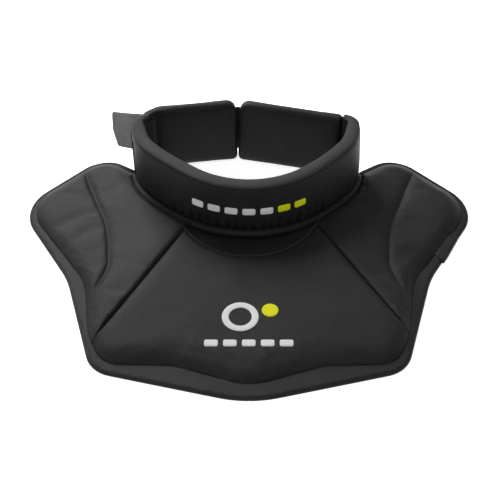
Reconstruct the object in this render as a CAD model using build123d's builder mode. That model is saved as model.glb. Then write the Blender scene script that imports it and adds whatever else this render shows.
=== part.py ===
from build123d import *

import os
from math import atan, cos, radians, sin, tan

# Bib-style neck guard: a padded collar ring that stands on a flat bib, closed at the
# back by two hinged pads and a hook-tape tab. Millimetres, +Z up, +Y towards the back.
# The origin is at the middle of the footprint, on the surface that the guard lies on.

os.makedirs("parts", exist_ok=True)

# ------------------------------------------------------------------ driving sizes

# Collar: a band that is U-shaped in plan, made of arcs that run into each other
collar_height = 54
collar_wall = 11
collar_depth = 89
collar_back_y = 112
collar_spread = 0.04
front_radius, front_turn = 75, 38
side_radius, side_turn = 170, 14
rear_side_radius, rear_side_turn = 50, 38
corner_radius, corner_turn = 13, 76
collar_end = 5
collar_front_lift = 8
collar_run = 92

# Layers, from the outside of a wall or the underside of the bib
face_cloth = 0.9
cut_liner = 0.8
hem_depth = 0.9
welt_depth = 1.0

# Bib
bib_reach = 131
tip_setback = 2.7
centre_rise = 8
centre_fold_y = -105
centre_run = 125
wing_fold_x = 124
wing_slope = 6.4
bib_thickness = 8
wing_thickness = 7.5
band_thickness = 2.6
groove = 0.6
fold_x = 113
fold_gap = 4
gusset_radius = 55.5
gusset_bottom_y = -6
gusset_height = 4.2
shoulder_x, shoulder_y = 80, 60
front_band_y = -60
neck_clearance = 0.1

# Neckline piping
piping_radius = 2.1
piping_front_z = 14.2
piping_slope = 0.08
piping_channel = 4.7
piping_clearance = 0.2

# Back pads, fastening tab and patch
pad_thickness = 9.5
pad_height = 53
right_hinge = Vector(74.5, 112.0)
right_heading, right_length = 166, 85.7
left_heading, left_length = 188.7, 77.2
pad_top_radius, pad_bottom_radius = 8, 4
hinge_gap = 0.8
mitre_gap = 0.8
seam_radius = 0.7
seam_rise = 2
seat_gap = 0.5
tab_heading = 172
tab_length = 21.5
tab_tape = 1.2
tab_hooks = 1.0
tab_low, tab_high = 11.5, 48
tab_pivot_out, tab_pivot_in = 2.0, 2.2
tab_root_bead = 0.8
tab_start = 1.1
tab_corner_radius = 3
patch_thickness, patch_gap = 1.2, 0.1
patch_width, patch_length = 30, 20
patch_x, patch_y = -85, 95
patch_low, patch_high = 14, 46

# Embroidery
thread_height = 0.6
thread_gap = 0.02
bar_pitch = 13
bar_rounding = 0.8
collar_bar_width, collar_bar_height, collar_bar_z = 9, 6.5, 33
collar_bar_count, white_collar_bars = 7, 5
bib_bar_width, bib_bar_height, bib_bar_y, bib_bar_count = 10, 5.5, -88, 5
ring_x, ring_y, ring_radius, ring_hole_radius = -6, -65, 13, 8
dot_x, dot_y, dot_radius = 15, -59, 6

# Construction blocks that reach past the part
beyond = 200
slab_drop, slab_reach = 20, 80
pad_room_margin, pad_room_length, pad_room_height = 10, 40, 80

# ------------------------------------------------------------------ planes

centre_angle = atan(centre_rise / centre_run)
wing_angle = radians(wing_slope)

centre_floor = Plane(
    origin=(0, centre_fold_y, 0),
    x_dir=(1, 0, 0),
    z_dir=(0, -sin(centre_angle), cos(centre_angle)),
)
wing_floor = Plane(
    origin=(wing_fold_x, 0, 0),
    x_dir=(0, 1, 0),
    z_dir=(sin(wing_angle), 0, cos(wing_angle)),
)
table = Plane.XY

collar_floor = Plane(
    origin=(0, collar_back_y, 0),
    x_dir=(1, 0, 0),
    z_dir=(0, collar_front_lift / collar_run, 1),
)


def heading_vector(degrees_from_x):
    """Level unit vector at an angle from +X."""
    return Vector(cos(radians(degrees_from_x)), sin(radians(degrees_from_x)), 0)


def upright_plane(start, heading):
    """Plane on an outer face: x runs along the heading, y runs up, z points outward."""
    along = heading_vector(heading)
    return Plane(origin=start, x_dir=along, z_dir=(along.Y, -along.X, 0))


centre_hinge = right_hinge + heading_vector(right_heading) * right_length
left_end = centre_hinge + heading_vector(left_heading) * left_length
right_face = upright_plane(right_hinge, right_heading)
left_face = upright_plane(centre_hinge, left_heading)
mitre_plane = Plane(
    origin=centre_hinge,
    z_dir=heading_vector((right_heading + left_heading) / 2 + 180),
)
left_seat_plane = left_face.offset(-pad_thickness - seat_gap)

# ------------------------------------------------------------------ shared outlines


def draw_collar_half(z, inset):
    """Right half of the collar's outline at a height, a distance in from its outer face.

    It is drawn in the open BuildLine, and its front and rear ends are returned.
    """
    spread = 1 + collar_spread * (1 - z / collar_height)
    start = (0, collar_back_y - collar_depth * spread + inset)
    front = JernArc(start, (1, 0), front_radius * spread - inset, front_turn)
    side = JernArc(front @ 1, front % 1, side_radius * spread - inset, side_turn)
    rear_side = JernArc(side @ 1, side % 1, rear_side_radius * spread - inset, rear_side_turn)
    corner = JernArc(
        rear_side @ 1, rear_side % 1, corner_radius * spread - inset, corner_turn
    )
    end = Line(corner @ 1, corner @ 1 + (corner % 1) * collar_end)
    return front @ 0, end @ 1


def collar_band(z, outer, inner):
    """Sketch of the strip between two insets of the collar's outline."""
    with BuildSketch(Plane.XY.offset(z)) as band:
        with BuildLine():
            outer_front, outer_rear = draw_collar_half(z, outer)
            inner_front, inner_rear = draw_collar_half(z, inner)
            Line(outer_rear, inner_rear)
            Line(inner_front, outer_front)
        make_face()
        mirror(about=Plane.YZ)
    return band.sketch


# Room for the right back pad, past the collar's right end
with BuildPart() as right_pad_room:
    with BuildSketch(right_face.offset(pad_room_margin)):
        with Locations((-hinge_gap, -pad_room_margin)):
            Rectangle(pad_room_length, pad_room_height, align=(Align.MIN, Align.MIN))
    extrude(amount=-pad_room_length)


def collar_layer(outer, inner, low, high):
    """One layer of the collar, between two insets and two heights over its sloping base."""
    with BuildPart() as layer:
        for z in (0, collar_height):
            add(collar_band(z, outer, inner))
        loft(ruled=True)
        split(bisect_by=collar_floor.offset(low), keep=Keep.TOP)
        split(bisect_by=table.offset(high), keep=Keep.BOTTOM)
        split(bisect_by=left_seat_plane, keep=Keep.BOTTOM)
        add(right_pad_room.part, mode=Mode.SUBTRACT)
    return layer.part


def collar_footprint(outset):
    """Sketch of the ground that the collar ring covers, grown outward."""
    with BuildSketch() as footprint:
        with BuildLine():
            front, rear = draw_collar_half(0, -outset)
            Line(rear, (0, rear.Y))
            Line((0, rear.Y), front)
        make_face()
        mirror(about=Plane.YZ)
    return footprint.sketch


def rounded_outline(corners, tip_radius):
    """Sketch with a rounded tip on the centre line and the given (x, y, radius) corners."""
    tip, *side = corners
    right = [(x, y) for x, y, _ in side]
    left = [(-x, y) for x, y in reversed(right)]
    radii = [radius for _, _, radius in side]
    with BuildSketch() as outline:
        with BuildLine():
            FilletPolyline(
                tip, *right, *left, radius=[tip_radius, *radii, *reversed(radii)], close=True
            )
        make_face()
    return outline.sketch


bib_outline = rounded_outline(
    [
        (0, -bib_reach - tip_setback),
        (108.7, -106, 24),
        (133.7, -17.8, 80),
        (179.7, 59.7, 36),
        (118.9, 122.5, 23),
        (84, 95.5, 0),
    ],
    tip_radius=84,
)
pad_field = rounded_outline(
    [
        (0, -120.3),
        (52, -102.5, 40),
        (101, -101, 20),
        (112.5, -77, 60),
        (120.5, -22, 60),
        (174.5, 59.5, 33),
        (119, 116.5, 19),
        (84, 89.5, 0),
    ],
    tip_radius=40,
)


def hip_zone():
    """Sketch of the ground between the two diagonal hip seams."""
    slope_ratio = tan(centre_angle) / tan(wing_angle)
    reach = 170
    with BuildSketch() as zone:
        with BuildLine():
            Polyline(
                (wing_fold_x, centre_fold_y),
                (wing_fold_x - slope_ratio * reach, centre_fold_y + reach),
                (slope_ratio * reach - wing_fold_x, centre_fold_y + reach),
                (-wing_fold_x, centre_fold_y),
                (-wing_fold_x, -2 * bib_reach),
                (wing_fold_x, -2 * bib_reach),
                close=True,
            )
        make_face()
    return zone.sketch


centre_zone = hip_zone()


def zone_between(x_low, x_high, y_low=-beyond, y_high=beyond):
    """Sketch of a rectangle given by its limits."""
    with BuildSketch(Plane.XY) as zone:
        with Locations(((x_low + x_high) / 2, (y_low + y_high) / 2)):
            Rectangle(x_high - x_low, y_high - y_low)
    return zone.sketch


root_edge = fold_x - fold_gap / 2
flap_edge = fold_x + fold_gap / 2
root_zone = zone_between(-root_edge, root_edge)
shoulder_zone = zone_between(shoulder_x, root_edge, y_low=shoulder_y)
front_zone = zone_between(-root_edge, root_edge, y_high=front_band_y)
flap_zone = zone_between(flap_edge, beyond)
right_half = zone_between(0, beyond)


def region(base, keep=(), remove=(), shrink=0.0):
    """Sketch of a base outline cut to some zones, less others, and pulled in all round."""
    with BuildSketch() as cut:
        add(base)
        for zone in keep:
            add(zone, mode=Mode.INTERSECT)
        for zone in remove:
            add(zone, mode=Mode.SUBTRACT)
        if shrink:
            offset(amount=-shrink, kind=Kind.INTERSECTION)
    return cut.sketch


def slab(outline, floor, low, high):
    """Upright block over an outline, cut to a layer between two heights over a floor plane."""
    with BuildPart() as block:
        with BuildSketch(Plane.XY.offset(-slab_drop)):
            add(outline)
        extrude(amount=slab_reach)
        split(bisect_by=floor.offset(low), keep=Keep.TOP)
        split(bisect_by=floor.offset(high), keep=Keep.BOTTOM)
    return block.part


def save(part, name):
    """Labels a finished piece and writes it."""
    part.label = name
    export_step(part, f"parts/{name}.step")


def save_both_sides(part, name):
    """Writes a right-hand piece and its mirror image."""
    save(part, f"right_{name}")
    save(mirror(part, about=Plane.YZ), f"left_{name}")


# ------------------------------------------------------------------ collar

liner_inset = face_cloth + cut_liner
lining_inset = collar_wall - face_cloth
core_top = collar_height - welt_depth

save(collar_layer(0, face_cloth, hem_depth, core_top), "collar_outer_cover")
save(collar_layer(face_cloth, liner_inset, hem_depth, core_top), "collar_cut_liner")
save(collar_layer(liner_inset, lining_inset, hem_depth, core_top), "collar_foam")
save(collar_layer(lining_inset, collar_wall, hem_depth, core_top), "collar_lining")

with BuildPart() as collar_top_welt:
    add(collar_layer(0, collar_wall, 0, collar_height))
    split(bisect_by=table.offset(core_top), keep=Keep.TOP)
save(collar_top_welt.part, "collar_top_welt")

with BuildPart() as collar_bottom_hem:
    add(collar_layer(0, collar_wall, 0, collar_height))
    split(bisect_by=collar_floor.offset(hem_depth), keep=Keep.BOTTOM)
save(collar_bottom_hem.part, "collar_bottom_hem")

# Loop patch on the outside of the collar's left side, where the tab presses on
with BuildPart() as closure_patch:
    add(collar_layer(-patch_gap - patch_thickness, -patch_gap, 0, collar_height))
    with BuildSketch(Plane.XY.offset(patch_low)):
        with Locations((patch_x, patch_y)):
            Rectangle(patch_width, patch_length)
    extrude(amount=patch_high - patch_low, mode=Mode.INTERSECT)
save(closure_patch.part, "closure_patch")

# Corded ridge where the bib meets the collar
piping_plane = Plane(
    origin=(0, collar_back_y, piping_front_z - piping_slope * collar_run),
    x_dir=(1, 0, 0),
    z_dir=(0, piping_slope, 1),
)
with BuildPart() as neckline_piping:
    with BuildLine(piping_plane) as piping_path:
        spread = 1 + collar_spread
        outset = piping_radius + piping_clearance
        first = JernArc(
            (0, -collar_depth * spread - outset), (1, 0), front_radius * spread + outset, front_turn
        )
        second = JernArc(first @ 1, first % 1, side_radius * spread + outset, side_turn)
        JernArc(second @ 1, second % 1, rear_side_radius * spread + outset, rear_side_turn - 1)
    with BuildSketch(Plane(origin=piping_path.line @ 0, z_dir=(1, 0, 0))):
        Circle(piping_radius)
    sweep()
    mirror(about=Plane.YZ)
save(neckline_piping.part, "neckline_piping")

# ------------------------------------------------------------------ bib

neck_hole = collar_footprint(neck_clearance)
piping_hole = collar_footprint(piping_channel)
liner_top = face_cloth + cut_liner
with BuildSketch() as gusset_circle:
    with Locations((0, gusset_bottom_y + gusset_radius)):
        Circle(gusset_radius)

flat_front = zone_between(-beyond, beyond, y_high=centre_fold_y)


def centre_slab(outline, low, high):
    """Layer over the bib's centre: flat on the table at the front, then rising to the neck."""
    with BuildPart() as layer:
        add(slab(region(outline, [flat_front]), table, low, high))
        add(slab(region(outline, remove=[flat_front]), centre_floor, low, high))
    return layer.part


# Lining: the centre facet and both wing facets, sewn into one sheet
centre_field = region(pad_field, [centre_zone, root_zone], [neck_hole])
wing_field = region(pad_field, [root_zone, right_half], [neck_hole, centre_zone])


def bib_sheet(low, high):
    """One sheet layer of the bib that follows its flat front edge and its three facets."""
    right_facet = slab(wing_field, wing_floor, low, high)
    with BuildPart() as sheet:
        add(centre_slab(centre_field, low, high))
        add(right_facet)
        add(mirror(right_facet, about=Plane.YZ, mode=Mode.PRIVATE))
    return sheet.part


save(bib_sheet(0, face_cloth), "bib_lining")
save(bib_sheet(face_cloth, liner_top), "bib_cut_liner")

# Padded panels: a foam core with a cover over its top and sides
centre_pad_field = region(
    pad_field, [centre_zone, root_zone], [piping_hole, gusset_circle.sketch], groove
)
centre_core = centre_slab(
    region(centre_pad_field, shrink=face_cloth), liner_top, bib_thickness - face_cloth
)
save(centre_core, "bib_centre_foam")
with BuildPart() as bib_centre_cover:
    add(centre_slab(centre_pad_field, liner_top, bib_thickness))
    add(centre_core, mode=Mode.SUBTRACT)
save(bib_centre_cover.part, "bib_centre_cover")

throat_field = region(
    pad_field, [centre_zone, gusset_circle.sketch], [piping_hole], groove
)
save(slab(throat_field, centre_floor, liner_top, gusset_height), "throat_gusset")

inner_field = region(
    pad_field, [root_zone, right_half], [piping_hole, centre_zone], groove
)
inner_core = slab(
    region(inner_field, shrink=face_cloth), wing_floor, liner_top, bib_thickness - face_cloth
)
save_both_sides(inner_core, "inner_wing_foam")
with BuildPart() as inner_wing_cover:
    add(slab(inner_field, wing_floor, liner_top, bib_thickness))
    add(inner_core, mode=Mode.SUBTRACT)
save_both_sides(inner_wing_cover.part, "inner_wing_cover")

# Edge band on the fixed part of the bib
front_band = region(bib_outline, [front_zone], [pad_field])
save(slab(front_band, table, 0, band_thickness), "front_edge_band")
shoulder_band = region(bib_outline, [shoulder_zone], [pad_field, piping_hole])
save_both_sides(slab(shoulder_band, wing_floor, 0, band_thickness), "shoulder_edge_band")

# ------------------------------------------------------------------ wing flaps

outer_field = region(pad_field, [flap_zone])
save_both_sides(slab(outer_field, table, 0, face_cloth), "outer_wing_lining")
outer_pad_field = region(outer_field, shrink=groove)
outer_core = slab(
    region(outer_pad_field, shrink=face_cloth), table, face_cloth, wing_thickness - face_cloth
)
save_both_sides(outer_core, "outer_wing_foam")
with BuildPart() as outer_wing_cover:
    add(slab(outer_pad_field, table, face_cloth, wing_thickness))
    add(outer_core, mode=Mode.SUBTRACT)
save_both_sides(outer_wing_cover.part, "outer_wing_cover")
wing_band = region(bib_outline, [flap_zone], [pad_field])
save_both_sides(slab(wing_band, table, 0, band_thickness), "wing_edge_band")

# ------------------------------------------------------------------ back pads


def back_pad_block(face, first, last, centre_end, shrink):
    """Upright padded block on an outer face, pulled in all round by a distance.

    Only its top corner at the centre back is rounded; centre_end is that end's index along it.
    """
    with BuildPart() as block:
        with BuildSketch(face.offset(-shrink)) as side:
            with Locations((first + shrink, shrink)):
                Rectangle(
                    last - first - 2 * shrink, pad_height - 2 * shrink, align=(Align.MIN, Align.MIN)
                )
            top_corners = side.vertices().group_by(Axis.Y)[-1].sort_by(Axis.X)
            fillet(top_corners[centre_end], radius=pad_top_radius - shrink)
            fillet(side.vertices().group_by(Axis.Y)[0], radius=pad_bottom_radius - shrink)
        extrude(amount=-(pad_thickness - 2 * shrink))
    return block.part


def save_back_pad(face, first, last, mitre, keep, name):
    """Writes the foam core and the closed cover of one back pad."""
    mitre_side = 1 if keep == Keep.TOP else -1
    centre_end = -1 if keep == Keep.TOP else 0
    with BuildPart() as foam:
        add(back_pad_block(face, first, last, centre_end, face_cloth))
        split(bisect_by=mitre.offset(mitre_side * (mitre_gap + face_cloth)), keep=keep)
    with BuildPart() as cover:
        add(back_pad_block(face, first, last, centre_end, 0))
        split(bisect_by=mitre.offset(mitre_side * mitre_gap), keep=keep)
        add(foam.part, mode=Mode.SUBTRACT)
    save(foam.part, f"{name}_foam")
    save(cover.part, f"{name}_cover")


save_back_pad(right_face, hinge_gap, right_length, mitre_plane, Keep.TOP, "right_back_pad")
save_back_pad(left_face, 0, left_length, mitre_plane, Keep.BOTTOM, "left_back_pad")


def seam_cord(position, low, high):
    """Upright corded seam that a pad hinges on."""
    with BuildPart() as cord:
        with BuildSketch(Plane.XY.offset(low)):
            with Locations((position.X, position.Y)):
                Circle(seam_radius)
        extrude(amount=high - low)
    return cord.part


seam_low = pad_bottom_radius
seam_high = pad_height - pad_top_radius + seam_rise
save(seam_cord(right_hinge, seam_low, seam_high), "right_hinge_seam")
save(seam_cord(centre_hinge, seam_low, seam_high), "centre_hinge_seam")

# ------------------------------------------------------------------ fastening tab

tab_pivot = (
    left_end
    + heading_vector(left_heading) * tab_pivot_out
    + heading_vector(left_heading + 90) * tab_pivot_in
)
tab_face = upright_plane(tab_pivot, tab_heading)
with BuildPart() as tab_root:
    with BuildSketch(Plane.XY.offset(tab_low)):
        with Locations((tab_pivot.X, tab_pivot.Y)):
            Circle(tab_root_bead)
            with Locations(Location((0, 0), left_heading + 180)):
                Rectangle(tab_pivot_out, tab_tape, align=(Align.MIN, Align.CENTER))
    extrude(amount=tab_high - tab_low)
save(tab_root.part, "tab_root")


def tab_layer(low, high):
    """One layer of the tab, between two distances outward of its pivot plane."""
    with BuildPart() as layer:
        with BuildSketch(tab_face.offset(low)) as side:
            with Locations((tab_start, tab_low)):
                Rectangle(tab_length, tab_high - tab_low, align=(Align.MIN, Align.MIN))
            fillet(side.vertices().group_by(Axis.X)[-1], radius=tab_corner_radius)
        extrude(amount=high - low)
    return layer.part


half_tab = (tab_tape + tab_hooks) / 2
save(tab_layer(half_tab - tab_tape, half_tab), "closure_tab")
save(tab_layer(-half_tab, half_tab - tab_tape), "closure_tab_hooks")

# ------------------------------------------------------------------ embroidery


def collar_embroidery(places):
    """Raised stitching on the collar's front: bars at some (x, z) places."""
    with BuildPart() as stitching:
        add(collar_layer(-thread_height, -thread_gap, 0, collar_height))
        with BuildSketch(Plane.XZ.offset(front_band_y)):
            with Locations(*places):
                RectangleRounded(collar_bar_width, collar_bar_height, bar_rounding)
        extrude(amount=-2 * front_band_y, mode=Mode.INTERSECT)
    return stitching.part


middle_bar = collar_bar_count // 2
collar_bars = [
    (bar_pitch * (index - middle_bar), collar_bar_z) for index in range(collar_bar_count)
]
save(collar_embroidery(collar_bars[:white_collar_bars]), "collar_embroidery_white")
save(collar_embroidery(collar_bars[white_collar_bars:]), "collar_embroidery_yellow")

with BuildSketch() as bib_white:
    with Locations((ring_x, ring_y)):
        Circle(ring_radius)
        Circle(ring_hole_radius, mode=Mode.SUBTRACT)
    with GridLocations(bar_pitch, 1, bib_bar_count, 1):
        with Locations((0, bib_bar_y)):
            RectangleRounded(bib_bar_width, bib_bar_height, bar_rounding)
with BuildSketch() as bib_yellow:
    with Locations((dot_x, dot_y)):
        Circle(dot_radius)
thread_base = bib_thickness + thread_gap
for stitching, colour in ((bib_white, "white"), (bib_yellow, "yellow")):
    save(
        slab(stitching.sketch, centre_floor, thread_base, thread_base + thread_height),
        f"bib_embroidery_{colour}",
    )
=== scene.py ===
"""Looks of a bib-style neck guard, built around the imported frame. All lengths are in metres."""

import logging
import math
from dataclasses import dataclass, field
from enum import Enum
from typing import Callable, Iterable, Sequence

import bmesh
import bpy
import numpy as np
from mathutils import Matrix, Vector, noise
from mathutils.bvhtree import BVHTree
from mathutils.geometry import delaunay_2d_cdt

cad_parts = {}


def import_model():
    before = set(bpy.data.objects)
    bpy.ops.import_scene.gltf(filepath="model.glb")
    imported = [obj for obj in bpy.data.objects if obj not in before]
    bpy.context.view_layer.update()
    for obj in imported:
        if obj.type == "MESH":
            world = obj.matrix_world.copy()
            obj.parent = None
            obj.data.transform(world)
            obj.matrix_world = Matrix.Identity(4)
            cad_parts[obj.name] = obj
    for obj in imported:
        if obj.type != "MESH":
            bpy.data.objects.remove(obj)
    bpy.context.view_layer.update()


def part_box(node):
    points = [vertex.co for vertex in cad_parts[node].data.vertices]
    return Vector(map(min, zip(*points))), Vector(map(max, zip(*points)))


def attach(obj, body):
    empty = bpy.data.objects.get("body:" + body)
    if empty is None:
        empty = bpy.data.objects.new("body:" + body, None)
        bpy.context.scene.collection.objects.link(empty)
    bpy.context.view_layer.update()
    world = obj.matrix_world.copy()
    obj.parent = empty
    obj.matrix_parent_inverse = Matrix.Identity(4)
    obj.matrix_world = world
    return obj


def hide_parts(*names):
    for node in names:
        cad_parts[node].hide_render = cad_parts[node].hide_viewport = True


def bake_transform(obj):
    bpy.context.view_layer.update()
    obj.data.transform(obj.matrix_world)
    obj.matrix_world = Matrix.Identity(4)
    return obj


MM = 0.001
FUZZ_SCALE = 1500.0

log = logging.getLogger("neck_guard")

Points = np.ndarray
Surface = Callable[[Points, Points, Points], Points]
Way = Callable[[Points], Points]
Piece = bpy.types.Object
Socket = bpy.types.NodeSocket


class Body(Enum):
    """The frame's moving bodies."""

    BIB = "bib_and_collar"
    LEFT_WING = "left_wing_flap"
    RIGHT_WING = "right_wing_flap"
    RIGHT_PAD = "right_back_pad"
    LEFT_PAD = "left_back_pad"
    TAB = "closure_tab"


class Side(Enum):
    """Side of the guard, as the sign of its X."""

    LEFT = -1
    RIGHT = 1

    @property
    def word(self) -> str:
        """Name used in piece and node names."""
        return self.name.lower()

    @property
    def wing(self) -> Body:
        """The wing body on this side."""
        return Body.LEFT_WING if self is Side.LEFT else Body.RIGHT_WING


# ---------------------------------------------------------------------- plan outlines


def rounded_path(corners: Sequence[tuple[float, float, float]], closed: bool) -> Points:
    """Line through corners with each corner rounded to its own radius.

    Args:
        corners: (x, y, radius) in metres; the ends of an open line have no radius.
        closed: whether the last corner runs back to the first.

    Returns:
        Points on the line, close together on its arcs.
    """
    places = np.array([(x, y) for x, y, _ in corners])
    count = len(places)
    line: list[np.ndarray] = []
    for index, (_, _, radius) in enumerate(corners):
        here = places[index]
        if (not closed and index in (0, count - 1)) or radius <= 0:
            line.append(here)
            continue
        back = places[index - 1] - here
        ahead = places[(index + 1) % count] - here
        back /= np.linalg.norm(back)
        ahead /= np.linalg.norm(ahead)
        half = math.acos(max(-1.0, min(1.0, float(back @ ahead)))) / 2
        middle = here + (back + ahead) / np.linalg.norm(back + ahead) * radius / math.sin(half)
        start = here + back * radius / math.tan(half) - middle
        end = here + ahead * radius / math.tan(half) - middle
        turn = math.atan2(start[0] * end[1] - start[1] * end[0], float(start @ end))
        steps = max(2, int(abs(turn) * radius / (1.5 * MM)))
        for angle in np.linspace(0.0, turn, steps + 1):
            cos, sin = math.cos(angle), math.sin(angle)
            line.append(middle + np.array([cos * start[0] - sin * start[1], sin * start[0] + cos * start[1]]))
    return np.array(line)


def evenly(line: Points, step: float) -> Points:
    """Points along a line at nearly equal steps, with both ends kept."""
    lengths = np.concatenate([[0.0], np.cumsum(np.linalg.norm(np.diff(line, axis=0), axis=1))])
    count = max(2, int(round(lengths[-1] / step)) + 1)
    at = np.linspace(0.0, lengths[-1], count)
    return np.stack([np.interp(at, lengths, line[:, axis]) for axis in range(line.shape[1])], axis=1)


def meeting(first: Points, second: Points) -> tuple[float, float]:
    """Where two lines first cross, as a fractional index along each."""
    a, b = first[:-1, None], first[1:, None] - first[:-1, None]
    c, d = second[None, :-1], second[None, 1:] - second[None, :-1]
    cross = b[..., 0] * d[..., 1] - b[..., 1] * d[..., 0]
    cross = np.where(np.abs(cross) < 1e-15, 1e-15, cross)
    gap = c - a
    along_first = (gap[..., 0] * d[..., 1] - gap[..., 1] * d[..., 0]) / cross
    along_second = (gap[..., 0] * b[..., 1] - gap[..., 1] * b[..., 0]) / cross
    hits = np.argwhere((along_first >= 0) & (along_first <= 1) & (along_second >= 0) & (along_second <= 1))
    if len(hits) == 0:
        raise ValueError("two outlines that should cross don't")
    i, j = hits[0]
    return i + along_first[i, j], j + along_second[i, j]


def stretch(line: Points, start: float, end: float) -> Points:
    """Part of a line between two fractional indices, in either direction."""
    low, high = sorted((start, end))
    at = np.concatenate([[low], np.arange(math.floor(low) + 1, math.ceil(high)), [high]])
    index = np.arange(len(line))
    part = np.stack([np.interp(at, index, line[:, axis]) for axis in range(line.shape[1])], axis=1)
    return part if start <= end else part[::-1]


def flipped(line: Points) -> Points:
    """Mirror image of a plan line across the middle plane."""
    return line * np.array([-1.0, 1.0])


def looped(line: Points) -> Points:
    """A line that ends where it starts."""
    return np.concatenate([line, line[:1]])


def directions(line: Points) -> Points:
    """Unit direction of a line at each of its points."""
    tangent = np.gradient(line, axis=0)
    return tangent / np.maximum(np.linalg.norm(tangent, axis=1), 1e-9)[:, None]


def leftward(tangent: Points) -> Points:
    """Directions a quarter turn to the left of plan directions."""
    return np.stack([-tangent[:, 1], tangent[:, 0]], axis=1)


def heading_vector(degrees: float) -> Points:
    """Unit plan vector along a heading in degrees."""
    return np.array([math.cos(math.radians(degrees)), math.sin(math.radians(degrees))])


@dataclass(frozen=True)
class BibPlan:
    """Plan lines of the bib's right half, from its front tip outward and back."""

    left_hip: tuple[float, float] = (121 * MM, 0.5706)
    right_hip: tuple[float, float] = (130 * MM, 0.5960)
    hip_y: float = -105 * MM
    throat_radius: float = 55.5 * MM
    throat_centre_y: float = 49.5 * MM

    def half(self, corners: Sequence[tuple[float, float, float]]) -> Points:
        """Right half of a symmetric outline whose first corner is its tip."""
        tip, *side = [(x * MM, y * MM, radius * MM) for x, y, radius in corners]
        left = [(-x, y, radius) for x, y, radius in reversed(side)]
        outline = rounded_path([tip, *side, *left], closed=True)
        right = outline[outline[:, 0] > 1e-6]
        start = np.array([[0.0, outline[np.abs(outline[:, 0]).argmin(), 1]]])
        return evenly(np.concatenate([start, right]), 1.0 * MM)

    @property
    def outline(self) -> Points:
        """Outer edge of the bib."""
        return self.half(
            [
                (0, -133.7, 84),
                (108.7, -106, 24),
                (133.7, -17.8, 80),
                (179.7, 59.7, 36),
                (118.9, 122.5, 23),
                (84, 95.5, 0),
            ]
        )

    @property
    def pad_line(self) -> Points:
        """Inner side of the edge band, where the padding ends."""
        return self.half(
            [
                (0, -120.3, 40),
                (52, -102.5, 40),
                (101, -101, 20),
                (112.5, -77, 60),
                (120.5, -22, 60),
                (174.5, 59.5, 33),
                (119, 116.5, 19),
                (84, 89.5, 0),
            ]
        )

    def hip(self, side: Side) -> Points:
        """Straight diagonal seam between the centre and a wing panel, drawn on the right."""
        foot, ratio = self.left_hip if side is Side.LEFT else self.right_hip
        reach = 150 * MM
        return np.array([(foot, self.hip_y), (foot - ratio * reach, self.hip_y + reach)])

    @property
    def wing_seam(self) -> Points:
        """Curved seam between the inner and the outer wing panel, from the front back."""
        corners = [(119, -52, 0), (103, -14, 45), (106.5, 28, 160), (134.5, 105.1, 0)]
        return evenly(rounded_path([(x * MM, y * MM, r * MM) for x, y, r in corners], False), 1.0 * MM)

    @property
    def throat(self) -> Points:
        """Front edge of the throat gusset, an arc from the middle outward."""
        angles = np.radians(np.linspace(0, 80, 90))
        x, y = np.sin(angles), -np.cos(angles)
        return np.stack([x, y], axis=1) * self.throat_radius + np.array([0.0, self.throat_centre_y])


@dataclass(frozen=True)
class CollarPath:
    """Plan of the collar: arcs that run from the front middle round to the rear end."""

    depth: float = 89 * MM
    back_y: float = 112 * MM
    height: float = 54 * MM
    front_lift: float = 8 * MM
    spread_below: float = 0.04
    arcs: tuple[tuple[float, float], ...] = ((75, 38), (170, 14), (50, 38), (13, 76))
    end_length: float = 1.2 * MM
    left_lean: tuple[float, float] = (0.4 * MM, 0.08)
    right_lean: tuple[float, float] = (-2.0 * MM, 0.037)

    def half(self) -> tuple[Points, Points]:
        """Right half at the top edge.

        Returns:
            Points from the front middle to the rear end, and their headings in radians.
        """
        places = [np.array([0.0, self.back_y - self.depth])]
        headings = [0.0]
        for radius_mm, turn in self.arcs:
            radius, steps = radius_mm * MM, max(8, int(radius_mm * math.radians(turn) / 1.1))
            start, first = places[-1], headings[-1]
            for angle in np.radians(np.linspace(0.0, turn, steps + 1))[1:]:
                sweep = np.array(
                    [math.sin(first + angle) - math.sin(first), math.cos(first) - math.cos(first + angle)]
                )
                places.append(start + radius * sweep)
                headings.append(first + angle)
        along = np.array([math.cos(headings[-1]), math.sin(headings[-1])])
        places.append(places[-1] + along * self.end_length)
        headings.append(headings[-1])
        return np.array(places), np.array(headings)

    def whole(self) -> tuple[Points, Points]:
        """Both halves, from the left rear end round the front to the right rear end."""
        places, headings = self.half()
        return np.concatenate([flipped(places[:0:-1]), places]), np.concatenate([-headings[:0:-1], headings])

    def at(self, places: Points, headings: Points, inset: Points | float, z: Points | float) -> Points:
        """Points of the collar wall.

        Args:
            places: Plan points of the top edge.
            headings: Direction of the path at each of them.
            inset: Distance inward from the outer face.
            z: Height of each point.

        Returns:
            Points in space, one for each plan point.
        """
        spread = 1 + self.spread_below * (1 - np.asarray(z) / self.height)
        share = np.clip((np.abs(places[:, 0]) - 0.045) / 0.042, 0, 1)
        share = share * share * (3 - 2 * share)
        left, right = [foot + rise * np.asarray(z) for foot, rise in (self.left_lean, self.right_lean)]
        pushed = share * np.where(places[:, 0] < 0, -left, right)
        x = places[:, 0] * spread - np.sin(headings) * inset + pushed
        y = self.back_y + (places[:, 1] - self.back_y) * spread + np.cos(headings) * inset
        return np.stack([x, y, np.broadcast_to(z, x.shape)], axis=1)

    def bottom(self, places: Points) -> Points:
        """Height of the collar's bottom edge under each plan point."""
        rise = self.front_lift / (self.depth + 3 * MM)
        return np.maximum(0.0, (self.back_y - places[:, 1]) * rise)

    def neckline(self, outset: float) -> Points:
        """Plan of the bib's edge at the collar, right half, a distance out from the wall."""
        places, headings = self.half()
        return self.at(places, headings, -outset, 0.0)[:, :2]


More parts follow.
